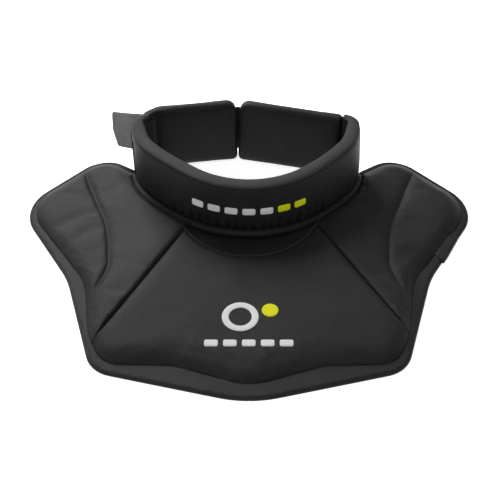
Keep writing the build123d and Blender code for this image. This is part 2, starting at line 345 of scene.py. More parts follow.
@dataclass(frozen=True)
class BibGround:
    """Underside of the bib: three sloping facets over a flat front edge and flat wings."""

    fold_y: float = -105 * MM
    centre_slope: float = 8 / 125
    wing_x: float = 124 * MM
    wing_slope: float = math.tan(math.radians(6.4))
    softness: float = 0.8 * MM

    def height(self, x: Points, y: Points) -> Points:
        """Height of the underside at plan points."""
        centre = (y - self.fold_y) * self.centre_slope
        wing = (self.wing_x - np.abs(x)) * self.wing_slope
        lower = (centre + wing - np.sqrt((centre - wing) ** 2 + self.softness**2)) / 2
        return (lower + np.sqrt(lower**2 + (0.3 * MM) ** 2)) / 2

    def surface(self, x: Points, y: Points, h: Points) -> Points:
        """Points in space over plan points, at heights above the underside."""
        return np.stack([x, y, self.height(x, y) + h], axis=1)


PLAN = BibPlan()
COLLAR = CollarPath()
GROUND = BibGround()


# ---------------------------------------------------------------------- mesh making


def make_object(name: str, vertices: Iterable, faces: Iterable[Sequence[int]]) -> Piece:
    """New smooth-shaded mesh object.

    Args:
        name: Piece name.
        vertices: Points in space.
        faces: Corner indices of each face.

    Returns:
        The linked object.
    """
    mesh = bpy.data.meshes.new(name)
    mesh.from_pydata([tuple(map(float, v)) for v in vertices], [], [tuple(map(int, f)) for f in faces])
    mesh.validate()
    edit = bmesh.new()
    edit.from_mesh(mesh)
    bmesh.ops.recalc_face_normals(edit, faces=edit.faces)
    edit.to_mesh(mesh)
    edit.free()
    mesh.shade_smooth()
    piece = bpy.data.objects.new(name, mesh)
    bpy.context.scene.collection.objects.link(piece)
    return piece


def apply_modifiers(piece: Piece) -> None:
    """Bakes all modifiers of a piece into its mesh."""
    graph = bpy.context.evaluated_depsgraph_get()
    mesh = bpy.data.meshes.new_from_object(piece.evaluated_get(graph))
    piece.modifiers.clear()
    old = piece.data
    mesh.name = old.name
    piece.data = mesh
    bpy.data.meshes.remove(old)
    piece.data.shade_smooth()


def subdivide(piece: Piece, levels: int = 1) -> None:
    """Smooths a piece with a subdivision surface and bakes it."""
    modifier = piece.modifiers.new("smooth", "SUBSURF")
    modifier.levels = modifier.render_levels = levels
    apply_modifiers(piece)


def thicken(piece: Piece, amount: float) -> None:
    """Turns an open sheet into a closed one of a given thickness, grown inward."""
    modifier = piece.modifiers.new("cloth_thickness", "SOLIDIFY")
    modifier.thickness = amount
    modifier.offset = -1
    modifier.use_even_offset = True
    apply_modifiers(piece)


def grid_sheet(name: str, rows: Points, thickness: float, outward: Way) -> Piece:
    """Closed sheet from a grid of points.

    Args:
        name: Piece name.
        rows: Array of rows by columns by 3.
        thickness: Thickness of the cloth, grown away from the outward side.
        outward: Gives a rough outward direction at the sheet's middle.

    Returns:
        The sheet.
    """
    count, width = rows.shape[:2]
    faces = [
        (r * width + c, r * width + c + 1, (r + 1) * width + c + 1, (r + 1) * width + c)
        for r in range(count - 1)
        for c in range(width - 1)
    ]
    piece = make_object(name, rows.reshape(-1, 3), faces)
    middle = piece.data.polygons[len(faces) // 2]
    if Vector(outward(np.array(middle.center))).dot(middle.normal) < 0:
        piece.data.flip_normals()
    thicken(piece, thickness)
    return piece


def tube(name: str, centres: Points, radii: Points, sides: int = 14) -> Piece:
    """Closed round tube along a line of centres, with rounded ends."""
    count = len(centres)
    tangents = directions(centres)
    up = np.array([0.0, 0.0, 1.0])
    side = np.cross(tangents, up)
    side /= np.linalg.norm(side, axis=1)[:, None]
    lift = np.cross(side, tangents)
    angles = np.linspace(0, 2 * math.pi, sides, endpoint=False)
    rings = (
        centres[:, None]
        + radii[:, None, None]
        * (np.cos(angles)[None, :, None] * side[:, None] + np.sin(angles)[None, :, None] * lift[:, None])
    ).reshape(-1, 3)
    faces = [
        (r * sides + k, r * sides + (k + 1) % sides, (r + 1) * sides + (k + 1) % sides, (r + 1) * sides + k)
        for r in range(count - 1)
        for k in range(sides)
    ]
    faces.append(tuple(range(sides - 1, -1, -1)))
    faces.append(tuple((count - 1) * sides + k for k in range(sides)))
    return make_object(name, rings, faces)


def soft_noise(points: Points, scale: float, seed: int) -> Points:
    """Smooth noise between about -1 and 1 at points in space."""
    offset = Vector((seed * 3.7, seed * 1.3, seed * 7.1))
    return np.array([noise.noise(Vector(p) * scale + offset) for p in points])


def inside(points: Points, outline: Points) -> Points:
    """Which plan points lie inside a closed outline."""
    x, y = points[:, 0, None], points[:, 1, None]
    a, b = outline, np.roll(outline, -1, axis=0)
    spans = (a[None, :, 1] > y) != (b[None, :, 1] > y)
    rise = np.where(np.abs(b[:, 1] - a[:, 1]) < 1e-12, 1e-12, b[:, 1] - a[:, 1])
    crossing = a[None, :, 0] + (y - a[None, :, 1]) * (b - a)[None, :, 0] / rise[None]
    return (spans & (x < crossing)).sum(axis=1) % 2 == 1


def distance_to(points: Points, line: Points) -> Points:
    """Distance of plan points from an open line."""
    best = np.full(len(points), np.inf)
    for start, end in zip(line[:-1], line[1:]):
        along = end - start
        share = np.clip(((points - start) @ along) / max(float(along @ along), 1e-15), 0, 1)
        gap = points - (start + share[:, None] * along)
        best = np.minimum(best, np.hypot(gap[:, 0], gap[:, 1]))
    return best


class Turn(Enum):
    """How sharply a face turns down at its edge."""

    CRISP = "crisp"
    SOFT = "soft"
    FLUSH = "flush"


@dataclass(frozen=True)
class Edge:
    """How a panel's face comes down to one stretch of its edge."""

    drop: float
    width: float
    turn: Turn = Turn.CRISP

    def lowering(self, distance: Points) -> Points:
        """How far the face lies below its crown at distances from the edge."""
        share = np.clip(1 - distance / self.width, 0, 1)
        if self.turn is Turn.SOFT:
            return self.drop * share**1.9
        return self.drop * (1 - np.sqrt(np.maximum(0.0, 1 - share**2)))


FLUSH = Edge(0.0, 1 * MM, Turn.FLUSH)


@dataclass(frozen=True)
class Crease:
    """A soft fold line pressed into a panel."""

    start: tuple[float, float]
    end: tuple[float, float]
    depth: float
    width: float

    def lowering(self, points: Points) -> Points:
        """Depth of the fold at plan points, in metres."""
        line = evenly(np.array([self.start, self.end]) * MM, 4 * MM)
        distance = distance_to(points, line)
        return self.depth * MM * np.exp(-((distance / (self.width * MM)) ** 2))


@dataclass
class Panel:
    """A closed padded panel over a plan outline, with its own edge shapes.

    The outline is a list of runs, each a plan line with the edge shape along it.
    """

    name: str
    runs: list[tuple[Points, Edge]]
    surface: Surface
    thickness: float
    base: float = 0.0
    step: float = 2.6 * MM
    both_faces: bool = False
    creases: tuple[Crease, ...] = ()
    channels: tuple[tuple[Points, Edge], ...] = ()
    unevenness: float = 0.0
    seed: int = 1
    swell: float = 0.0
    piece: Piece = field(init=False)
    held: list[int] = field(init=False, default_factory=list)

    def _outline(self) -> Points:
        """Closed outline with no doubled points."""
        line = np.concatenate([evenly(run, self.step)[:-1] for run, _ in self.runs])
        gaps = np.linalg.norm(line - np.roll(line, 1, axis=0), axis=1)
        return line[gaps > 0.2 * self.step]

    def _places(self, outline: Points) -> Points:
        """Plan points that the panel's mesh is made from, outline first."""
        area = np.sum(outline[:, 0] * np.roll(outline[:, 1], -1) - np.roll(outline[:, 0], -1) * outline[:, 1])
        turn = 1.0 if area > 0 else -1.0
        tangent = np.roll(outline, -1, axis=0) - np.roll(outline, 1, axis=0)
        tangent /= np.maximum(np.linalg.norm(tangent, axis=1), 1e-9)[:, None]
        inward = leftward(tangent) * turn
        closed = looped(outline)
        parts = [outline]
        for depth in (0.32 * self.step, 0.85 * self.step):
            ring = outline + inward * depth
            clear = distance_to(ring, closed) > 0.93 * depth
            parts.append(ring[inside(ring, outline) & clear])
        low, high = outline.min(axis=0), outline.max(axis=0)
        columns = np.arange(low[0], high[0], self.step)
        lines = np.arange(low[1], high[1], self.step)
        grid = np.stack(np.meshgrid(columns, lines), axis=-1).reshape(-1, 2)
        grid = grid[inside(grid, outline)]
        parts.append(grid[distance_to(grid, closed) > 1.35 * self.step])
        places = np.concatenate(parts)
        for line, _ in self.channels:
            near = distance_to(places, line) < 1.2 * self.step
            near[: len(outline)] = False
            rows = self._beside(line)
            rows = rows[inside(rows, outline)]
            rows = rows[distance_to(rows, closed) > 0.8 * self.step]
            places = np.concatenate([places[~near], rows])
        return places

    def _beside(self, line: Points) -> Points:
        """Points along a sewn channel and in rows at both sides of it."""
        middle = evenly(line, self.step)
        across = leftward(directions(middle)) * 0.55 * self.step
        return np.concatenate([middle, middle + across, middle - across])

    def _faces(self, places: Points, rim: int) -> tuple[Points, list[list[int]]]:
        """Triangulated plan, with the outline kept as its rim."""
        vertices, _, faces, _, _, _ = delaunay_2d_cdt(
            [Vector(p) for p in places], [], [list(range(rim))], 1, 1e-7
        )
        return np.array([tuple(v) for v in vertices]), faces

    def _keep_flush(self, borders: list, crease: object, places: Points, number: dict) -> None:
        """Keeps the panel square where it butts against its other half."""
        lines = [run for run, edge in self.runs if edge.turn is Turn.FLUSH]
        for edge in borders:
            spots = np.array([places[number[vertex]] for vertex in edge.verts])
            if any(distance_to(spots, line).max() < 0.02 * MM for line in lines):
                edge[crease] = 1.0
                edge.smooth = False

    def build(self) -> Piece:
        """Makes the panel's closed mesh.

        Returns:
            The new piece.
        """
        outline = self._outline()
        places, faces = self._faces(self._places(outline), len(outline))
        count = len(places)
        low = np.zeros(count)
        for run, edge in (*self.runs, *self.channels):
            low = np.maximum(low, edge.lowering(distance_to(places, run)))
        sewn = np.zeros(count, bool)
        for line, _ in self.channels:
            sewn |= distance_to(places, line) < 0.3 * MM
        pressed = low.copy()
        for crease in self.creases:
            pressed = pressed + crease.lowering(places)
        folded = pressed
        if self.unevenness:
            flat = np.concatenate([places, np.zeros((count, 1))], axis=1)
            rim_fade = np.clip(distance_to(places, looped(outline)) / (6 * MM), 0, 1)
            wave = soft_noise(flat, 38, self.seed) + 0.5 * soft_noise(flat, 95, self.seed + 5)
            pressed = pressed + self.unevenness * wave * rim_fade
        under = folded if self.both_faces else np.zeros(count)
        top = self.surface(places[:, 0], places[:, 1], self.base + self.thickness - pressed)
        bottom = self.surface(places[:, 0], places[:, 1], self.base + under)
        edit = bmesh.new()
        crease = edit.edges.layers.float.new("crease_edge")
        upper = [edit.verts.new(p) for p in top]
        lower = [edit.verts.new(p) for p in bottom]
        for face in faces:
            edit.faces.new([upper[i] for i in face])
            edit.faces.new([lower[i] for i in reversed(face)])
        bmesh.ops.join_triangles(
            edit, faces=edit.faces[:], angle_face_threshold=0.7, angle_shape_threshold=0.7
        )
        borders = [edge for edge in edit.edges if len(edge.link_faces) == 1]
        rim = {vertex for edge in borders for vertex in edge.verts}
        number = {vertex: index for index, vertex in enumerate(upper)}
        for edge in borders:
            first, second = edge.verts
            if first in number and second in number:
                a, b = number[first], number[second]
                edit.faces.new([upper[a], upper[b], lower[b], lower[a]])
        numbers = number | {vertex: index for index, vertex in enumerate(lower)}
        self._keep_flush(borders, crease, places, numbers)
        bmesh.ops.recalc_face_normals(edit, faces=edit.faces[:])
        edit.verts.index_update()
        fixed = rim | {upper[i] for i in np.flatnonzero(sewn)} | (set() if self.both_faces else set(lower))
        self.held = [v.index for v in edit.verts if v in fixed]
        mesh = bpy.data.meshes.new(self.name)
        edit.to_mesh(mesh)
        edit.free()
        mesh.shade_smooth()
        self.piece = bpy.data.objects.new(self.name, mesh)
        bpy.context.scene.collection.objects.link(self.piece)
        return self.piece


@dataclass(frozen=True)
class Inflation:
    """One cloth simulation that fills all padded panels at once."""

    pressure: float = 4.0
    frames: int = 16
    stretch: float = 0.003

    def _fit(self, panel: Panel) -> None:
        """Puts a cloth on a panel, held at its seams."""
        piece = panel.piece
        group = piece.vertex_groups.new(name="held")
        group.add(panel.held, 1.0, "REPLACE")
        settings = piece.modifiers.new("cloth", "CLOTH").settings
        settings.quality = 5
        settings.mass = 0.2
        settings.tension_stiffness = settings.compression_stiffness = 22
        settings.shear_stiffness = 8
        settings.bending_stiffness = 0.6
        settings.vertex_group_mass = "held"
        settings.shrink_min = -self.stretch
        settings.use_pressure = True
        settings.uniform_pressure_force = self.pressure
        settings.effector_weights.gravity = 0

    def run(self, panels: Sequence[Panel]) -> None:
        """Fills the panels, limits each point's travel and leaves plain meshes."""
        scene = bpy.context.scene
        for panel in panels:
            self._fit(panel)
        for frame in range(1, self.frames + 1):
            scene.frame_set(frame)
        graph = bpy.context.evaluated_depsgraph_get()
        for panel in panels:
            mesh = panel.piece.data
            start = np.array([v.co for v in mesh.vertices])
            swollen = np.array([v.co for v in panel.piece.evaluated_get(graph).data.vertices])
            travel = swollen - start
            size = np.linalg.norm(travel, axis=1)
            travel *= (np.tanh(size / panel.swell) * panel.swell / np.maximum(size, 1e-9))[:, None]
            mesh.vertices.foreach_set("co", (start + travel).ravel())
            panel.piece.modifiers.clear()
            panel.piece.vertex_groups.clear()
            mesh.update()
            log.info("filled %s by up to %.2f mm", panel.name, float(size.max()) / MM)
        scene.frame_set(1)


# ---------------------------------------------------------------------- finishes


class Wiring:
    """Small helper that adds nodes to a tree and joins them."""

    def __init__(self, tree: bpy.types.NodeTree) -> None:
        """Keeps the tree to work in."""
        self.tree = tree

    def node(self, kind: str, **values: object) -> bpy.types.Node:
        """Adds a node and sets its properties and numbered or named inputs.

        Args:
            kind: Node type.
            values: Properties, or inputs written as in_NAME or in_INDEX.

        Returns:
            The node.
        """
        made = self.tree.nodes.new(kind)
        for key, value in values.items():
            if key.startswith("in_"):
                name = key[3:]
                socket = made.inputs[int(name)] if name.isdigit() else made.inputs[name.replace("_", " ")]
                if isinstance(value, Socket):
                    self.tree.links.new(value, socket)
                else:
                    socket.default_value = value
            else:
                setattr(made, key, value)
        return made

    def math(self, operation: str, first: object, second: object = 0.0) -> Socket:
        """Adds a Math node and returns its output."""
        return self.node("ShaderNodeMath", operation=operation, in_0=first, in_1=second).outputs[0]

    def blend(self, first: Socket, first_part: float, second: Socket, second_part: float) -> Socket:
        """Sum of two values, each taken in part."""
        parts = (self.math("MULTIPLY", first, first_part), self.math("MULTIPLY", second, second_part))
        return self.math("ADD", *parts)


@dataclass
class Group:
    """Shader node group with number sockets, and the wiring inside it."""

    name: str
    inputs: dict[str, float]
    outputs: Sequence[str]

    def __post_init__(self) -> None:
        """Makes the empty group with its two end nodes."""
        self.tree = bpy.data.node_groups.new(self.name, "ShaderNodeTree")
        kind = "NodeSocketFloat"
        for label, value in self.inputs.items():
            self.tree.interface.new_socket(label, in_out="INPUT", socket_type=kind).default_value = value
        for label in self.outputs:
            self.tree.interface.new_socket(label, in_out="OUTPUT", socket_type=kind)
        self.wiring = Wiring(self.tree)
        self.entry = self.wiring.node("NodeGroupInput").outputs
        self.leave = self.wiring.node("NodeGroupOutput").inputs
        self.place = self.wiring.node("ShaderNodeTexCoord").outputs["Object"]

    def noise(self, scale: Socket | float, **values: float) -> bpy.types.Node:
        """Noise over the object's own coordinates."""
        values = {f"in_{name}": value for name, value in values.items()}
        return self.wiring.node("ShaderNodeTexNoise", in_Vector=self.place, in_Scale=scale, **values)


class Effects:
    """Shader node groups that several finishes share."""

    def __init__(self) -> None:
        """Builds each group once."""
        self.twill = self._twill()
        self.fibres = self._fibres()
        self.wear = self._wear()

    def _wave(self, wiring: Wiring, place: Socket, direction: Sequence[float], pitch: object) -> Socket:
        """Sine wave along a direction, from -1 to 1."""
        along = wiring.node("ShaderNodeVectorMath", operation="DOT_PRODUCT", in_0=place, in_1=direction)
        turns = wiring.math("DIVIDE", along.outputs["Value"], pitch)
        return wiring.math("SINE", wiring.math("MULTIPLY", turns, 2 * math.pi))

    def _twill(self) -> bpy.types.NodeTree:
        """Diagonal ribs crossed by finer threads."""
        group = Group("twill_weave", {"Pitch": 0.0016, "Drift": 0.0004}, ["Height", "Thread"])
        tree, wiring, pitch = group.tree, group.wiring, group.entry["Pitch"]
        drift = group.noise(60.0, Detail=1.0).outputs["Color"]
        push = wiring.node("ShaderNodeVectorMath", operation="SCALE", in_0=drift)
        tree.links.new(group.entry["Drift"], push.inputs["Scale"])
        bent = wiring.node("ShaderNodeVectorMath", operation="ADD", in_0=group.place, in_1=push.outputs[0])
        ribs = self._wave(wiring, bent.outputs[0], (0.72, 0.60, 0.66), pitch)
        finer = wiring.math("MULTIPLY", pitch, 0.62)
        cross = self._wave(wiring, bent.outputs[0], (0.62, -0.74, -0.58), finer)
        strength = wiring.math("ADD", wiring.math("MULTIPLY", cross, 0.35), 0.65)
        threads = wiring.math("MULTIPLY", strength, ribs)
        height = wiring.math("ADD", wiring.math("MULTIPLY", threads, 0.5), 0.5)
        tree.links.new(height, group.leave["Height"])
        thread = wiring.math("POWER", wiring.math("MAXIMUM", height, 0.0), 1.6)
        tree.links.new(thread, group.leave["Thread"])
        return tree

    def _fibres(self) -> bpy.types.NodeTree:
        """Short tangled fibres, for felt, foam and the fuzz of worn cloth."""
        group = Group("fibre_fuzz", {"Scale": 900.0}, ["Height", "Tint"])
        scale = group.entry["Scale"]
        fine = group.noise(scale, Detail=3.0, Distortion=1.4).outputs[0]
        broad = group.noise(group.wiring.math("MULTIPLY", scale, 0.16), Detail=2.0).outputs[0]
        group.tree.links.new(fine, group.leave["Height"])
        group.tree.links.new(group.wiring.blend(fine, 0.6, broad, 0.4), group.leave["Tint"])
        return group.tree

    def _wear(self) -> bpy.types.NodeTree:
        """Faint patches where the cloth is rubbed or dusty."""
        group = Group("rubbed_patches", {"Scale": 26.0, "Amount": 0.3}, ["Mask"])
        patches = group.noise(group.entry["Scale"], Detail=5.0, Roughness=0.6).outputs[0]
        shaped = group.wiring.node("ShaderNodeMapRange", in_0=patches, in_1=0.42, in_2=0.72)
        mask = group.wiring.math("MULTIPLY", shaped.outputs[0], group.entry["Amount"])
        group.tree.links.new(mask, group.leave["Mask"])
        return group.tree


class Texture(Enum):
    """Which surface pattern a finish has."""

    TWILL = "twill"
    PLAIN = "plain"
    FELT = "felt"
    SATIN = "satin"


@dataclass(frozen=True)
class Finish:
    """One cloth or tape finish."""

    slot: str
    texture: Texture
    shade: tuple[float, float, float]
    light: tuple[float, float, float]
    roughness: float
    relief: float
    pitch: float = 1.6 * MM
    sheen: float = 0.015
    worn: float = 0.22
    specular: float = 0.16

    def material(self, effects: Effects) -> bpy.types.Material:
        """Node material of this finish.

        Args:
            effects: The shared node groups.

        Returns:
            The new material.
        """
        made = bpy.data.materials.new(self.slot)
        made.use_nodes = True
        tree = made.node_tree
        tree.nodes.clear()
        wiring = Wiring(tree)
        output = wiring.node("ShaderNodeOutputMaterial")
        shader = wiring.node("ShaderNodeBsdfPrincipled")
        tree.links.new(shader.outputs[0], output.inputs[0])
        shader.inputs["Sheen Weight"].default_value = self.sheen
        shader.inputs["Sheen Roughness"].default_value = 0.45
        shader.inputs["Specular IOR Level"].default_value = self.specular
        group = "ShaderNodeGroup"
        fibres = wiring.node(group, node_tree=effects.fibres, in_Scale=FUZZ_SCALE)
        if self.texture is Texture.FELT:
            fibres.inputs["Scale"].default_value = 0.9 / self.pitch
            height, thread = fibres.outputs["Height"], fibres.outputs["Tint"]
        else:
            drift = 0.25 * self.pitch
            weave = wiring.node(group, node_tree=effects.twill, in_Pitch=self.pitch, in_Drift=drift)
            height, thread = weave.outputs["Height"], weave.outputs["Thread"]
        tint = wiring.blend(thread, 0.85, fibres.outputs["Tint"], 0.15)
        cloth = wiring.node("ShaderNodeMix", data_type="RGBA", in_0=tint)
        cloth.inputs[6].default_value = (*self.shade, 1)
        cloth.inputs[7].default_value = (*self.light, 1)
        wear = wiring.node(group, node_tree=effects.wear, in_Amount=self.worn)
        worn = wiring.node("ShaderNodeMix", data_type="RGBA", in_0=wear.outputs["Mask"])
        tree.links.new(cloth.outputs[2], worn.inputs[6])
        worn.inputs[7].default_value = (*[min(1.0, 1.35 * c + 0.006) for c in self.light], 1)
        tree.links.new(worn.outputs[2], shader.inputs["Base Color"])
        rough = wiring.node("ShaderNodeMapRange", in_0=fibres.outputs["Tint"], in_3=self.roughness - 0.08)
        rough.inputs[4].default_value = min(1.0, self.roughness + 0.12)
        tree.links.new(rough.outputs[0], shader.inputs["Roughness"])
        bump_kind, fuzz_height = "ShaderNodeBump", fibres.outputs["Height"]
        fuzz = wiring.node(bump_kind, in_Strength=0.35, in_Distance=0.12 * MM, in_Height=fuzz_height)
        bump = wiring.node(bump_kind, in_Strength=0.8, in_Distance=self.relief, in_Height=height)
        tree.links.new(fuzz.outputs[0], bump.inputs["Normal"])
        tree.links.new(bump.outputs[0], shader.inputs["Normal"])
        return made


FINISHES = (
    Finish("black_twill", Texture.TWILL, (0.0015, 0.0015, 0.0017), (0.0215, 0.0215, 0.0219), 0.48, 0.00030),
    Finish("grey_welt", Texture.PLAIN, (0.020, 0.020, 0.0205), (0.046, 0.046, 0.047), 0.6, 0.00026, 1.2 * MM),
    Finish("binding_tape", Texture.TWILL, (0.0055, 0.0055, 0.0058),
           (0.018, 0.018, 0.0186), 0.48, 0.00018, 1.1 * MM),
    Finish("brushed_lining", Texture.FELT, (0.007, 0.007, 0.0075),
           (0.018, 0.018, 0.019), 0.85, 0.0003, 1.4 * MM),
    Finish("loop_tape", Texture.FELT, (0.007, 0.007, 0.0072), (0.018, 0.018, 0.0186), 0.9, 0.0005, 1.2 * MM),
    Finish("tab_tape", Texture.PLAIN, (0.06, 0.06, 0.06), (0.12, 0.12, 0.12), 0.7, 0.0002, 1.2 * MM),
    Finish("hook_tape", Texture.FELT, (0.12, 0.12, 0.121), (0.31, 0.31, 0.312), 0.9, 0.0006, 1.6 * MM),
    Finish("white_thread", Texture.SATIN, (0.55, 0.56, 0.57),
           (0.88, 0.88, 0.88), 0.45, 0.00025, 0.7 * MM, 0.1, 0.1),
    Finish("yellow_thread", Texture.SATIN, (0.60, 0.60, 0.0),
           (0.86, 0.88, 0.0), 0.45, 0.00025, 0.7 * MM, 0.1, 0.0),
)


class Wardrobe:
    """All finishes as materials, and how pieces are dressed in them."""

    def __init__(self) -> None:
        """Builds the shared effects and one material for each finish."""
        effects = Effects()
        self.materials = {finish.slot: finish.material(effects) for finish in FINISHES}

    def dress(self, piece: Piece, slot: str) -> None:
        """Gives a piece its finish."""
        piece.data.materials.clear()
        piece.data.materials.append(self.materials[slot])

    def fit(self, piece: Piece, slot: str, body: Body, *nodes: str) -> None:
        """Dresses a piece, fixes it to a body and hides the CAD nodes it stands for."""
        self.dress(piece, slot)
        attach(piece, body.value)
        if nodes:
            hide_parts(*nodes)


# ---------------------------------------------------------------------- the bib


def fold_blend(piece: Piece) -> None:
    """Bakes a piece's placement into its mesh."""
    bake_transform(piece)


def placed(runs: list[tuple[Points, Edge]], side: Side) -> list[tuple[Points, Edge]]:
    """Right-hand runs of a panel, or their mirror image for the left."""
    if side is Side.RIGHT:
        return runs
    return [(flipped(line)[::-1], edge) for line, edge in reversed(runs)]


@dataclass
class Bib:
    """The quilted bib: five pads, a throat gusset, its edge band and its lining."""

    wardrobe: Wardrobe
    cloth: float = 0.9 * MM
    pad_height: float = 7.2 * MM
    band_height: float = 2.7 * MM
    gusset_height: float = 3.4 * MM
    hip_edge: Edge = Edge(2.0 * MM, 2.8 * MM)
    channel_edge: Edge = Edge(2.3 * MM, 4.2 * MM, Turn.SOFT)
    channel_start: float = 16.0
    neck_edge: Edge = Edge(3.4 * MM, 7.0 * MM)
    band_edge: Edge = Edge(5.1 * MM, 11.0 * MM, Turn.SOFT)
    throat_edge: Edge = Edge(1.6 * MM, 2.6 * MM)
    hem_edge: Edge = Edge(1.8 * MM, 2.1 * MM)
    neck_outset: float = 4.3 * MM
    overlap: float = 0.8 * MM
    tuck: float = 1.4 * MM
    pads: list[Panel] = field(default_factory=list)

    def __post_init__(self) -> None:
        """Works out the seams that the panels share."""
        self.neck = COLLAR.neckline(self.neck_outset)
        self.pad_line = PLAN.pad_line
        self.seam = PLAN.wing_seam
        self.throat = PLAN.throat

    def _centre_runs(self) -> list[tuple[Points, Edge]]:
        """Edges of the centre pad, right half then left half."""
        neck_at_throat, throat_end = meeting(self.neck, self.throat)
        runs = []
        for side in (Side.RIGHT, Side.LEFT):
            hip = PLAN.hip(side)
            low, hip_low = meeting(self.pad_line, hip)
            neck_at_hip, hip_high = meeting(self.neck, hip)
            half = [
                (stretch(self.pad_line, 0, low), self.band_edge),
                (stretch(hip, hip_low, hip_high), self.hip_edge),
                (stretch(self.neck, neck_at_hip, neck_at_throat), self.neck_edge),
                (stretch(self.throat, throat_end, 0), self.throat_edge),
            ]
            runs += placed(half, side)
        return runs

    def _wing_runs(self, side: Side) -> list[tuple[Points, Edge]]:
        """Edges of a wing pad."""
        hip = PLAN.hip(side)
        low, hip_low = meeting(self.pad_line, hip)
        neck_at_hip, hip_high = meeting(self.neck, hip)
        rear, neck_rear = meeting(self.pad_line, self.neck)
        half = [
            (stretch(self.pad_line, low, rear), self.band_edge),
            (stretch(self.neck, neck_rear, neck_at_hip), self.neck_edge),
            (stretch(hip, hip_high, hip_low), self.hip_edge),
        ]
        return placed(half, side)

    def _channel(self, side: Side) -> tuple[Points, Edge]:
        """The curved channel sewn down a wing pad; it fades out before the front edge."""
        _, seam_back = meeting(self.pad_line[::-1], self.seam[::-1])
        line = stretch(self.seam, self.channel_start, len(self.seam) - 1 - seam_back)
        return (line if side is Side.RIGHT else flipped(line)), self.channel_edge

    def build_pads(self) -> None:
        """Makes the pads before they are filled."""
        common = {"surface": GROUND.surface, "base": self.cloth, "swell": 0.7 * MM}
        self.pads.append(
            Panel(
                "bib_centre_pad",
                self._centre_runs(),
                thickness=self.pad_height,
                unevenness=0.16 * MM,
                **common,
            )
        )
        wing_creases = {
            Side.LEFT: (
                Crease((-139, 10), (-116, 33), 0.55, 4.0),
                Crease((-146, 33), (-121, 50), 0.5, 5.0),
                Crease((-118, -22), (-116, 6), 0.35, 4.0),
            ),
            Side.RIGHT: (Crease((150, 28), (128, 40), 0.35, 5.0), Crease((122, -24), (126, 2), 0.35, 4.0)),
        }
        for side in Side:
            self.pads.append(
                Panel(
                    f"{side.word}_wing_pad",
                    self._wing_runs(side),
                    thickness=self.pad_height,
                    unevenness=0.2 * MM,
                    creases=wing_creases[side],
                    channels=(self._channel(side),),
                    seed=3 + side.value,
                    **common,
                )
            )
        self.pads.append(self._gusset())
        for pad in self.pads:
            pad.build()

    def _gusset(self) -> Panel:
        """The crescent below the collar's front."""
        neck_at_throat, throat_end = meeting(self.neck, self.throat)
        right = [
            (stretch(self.throat, 0, throat_end), Edge(0.8 * MM, 1.6 * MM)),
            (stretch(self.neck, neck_at_throat, 0), Edge(1.2 * MM, 5 * MM)),
        ]
        runs = [right[0], right[1], *placed([right[1]], Side.LEFT), *placed([right[0]], Side.LEFT)]
        return Panel(
            "throat_gusset_panel",
            runs,
            GROUND.surface,
            self.gusset_height,
            base=self.cloth,
            step=2.2 * MM,
            unevenness=0.1 * MM,
            swell=0.5 * MM,
        )

    def finish_pads(self) -> None:
        """Smooths the filled pads, dresses them and joins the centre pad and the gusset to the frame."""
        for pad in self.pads:
            subdivide(pad.piece)
            self.wardrobe.dress(pad.piece, "black_twill")
        centre, *wings, gusset = self.pads
        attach(centre.piece, Body.BIB.value)
        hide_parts("bib_centre_cover", "bib_centre_foam", "bib_cut_liner")
        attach(gusset.piece, Body.BIB.value)
        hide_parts("throat_gusset")
        for side, wing in zip(Side, wings):
            nodes: list[str] = []
            fold_blend(wing.piece)
            for part in ("inner", "outer"):
                nodes += [f"{side.word}_{part}_wing_{layer}" for layer in ("cover", "foam")]
            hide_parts(*nodes)

    def build_band(self) -> None:
        """Makes the edge band in two halves, with their topstitching."""
        neck = COLLAR.neckline(0.4 * MM)
        for side in Side:
            outer = PLAN.outline
            outer_end, _ = meeting(outer, neck)
            inner_end, _ = meeting(self.pad_line, neck)
            outer = self._past_middle(stretch(outer, 0, outer_end))
            inner = self._past_middle(stretch(self.pad_line, 0, inner_end))[::-1]
            inner = inner + leftward(directions(inner[::-1]))[::-1] * self.tuck
            closing = np.array([inner[-1], outer[0]])
            runs = [
                (outer, self.hem_edge),
                (np.array([outer[-1], inner[0]]), Edge(0.2 * MM, 1 * MM)),
                (inner, Edge(0.3 * MM, 1.0 * MM)),
                (closing, FLUSH),
            ]
            band = Panel(
                f"{side.word}_edge_band_strip",
                placed(runs, side),
                GROUND.surface,
                self.band_height,
                step=2.0 * MM,
                unevenness=0.06 * MM,
                seed=20 + side.value,
            )
            piece = band.build()
            subdivide(piece)
            self.wardrobe.dress(piece, "binding_tape")
            fold_blend(piece)
            nodes = [f"{side.word}_wing_edge_band", f"{side.word}_shoulder_edge_band"]
            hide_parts(*nodes, *(["front_edge_band"] if side is Side.RIGHT else []))
            self._band_stitches(side, outer)
            if side is Side.RIGHT:
                self._band_lap(outer)

    def _past_middle(self, line: Points) -> Points:
        """Carries a line that starts at the middle a little across it."""
        return np.concatenate([[line[0] - np.array([self.overlap, 0.0])], line])

    def build_throat_cord(self) -> None:
        """Thin turned edge of cloth along the gusset's front seam, in the lighter welt cloth as a painted
        highlight along the centre pad's edge.
        """
        _, throat_end = meeting(self.neck, self.throat)
        right = stretch(self.throat, 0, throat_end)
        line = evenly(np.concatenate([flipped(right)[:0:-1], right]), 1.2 * MM)
        line = line + np.array([0.0, 0.5 * MM])
        height = self.cloth + self.pad_height - self.throat_edge.drop + 0.1 * MM
        route = GROUND.surface(line[:, 0], line[:, 1], np.full(len(line), height))
        cord = tube("throat_seam_cord", route, np.full(len(line), 0.65 * MM), sides=8)
        # The lighter grey welt cloth paints the highlight along the centre pad's edge at the throat.
        self.wardrobe.fit(cord, "grey_welt", Body.BIB)

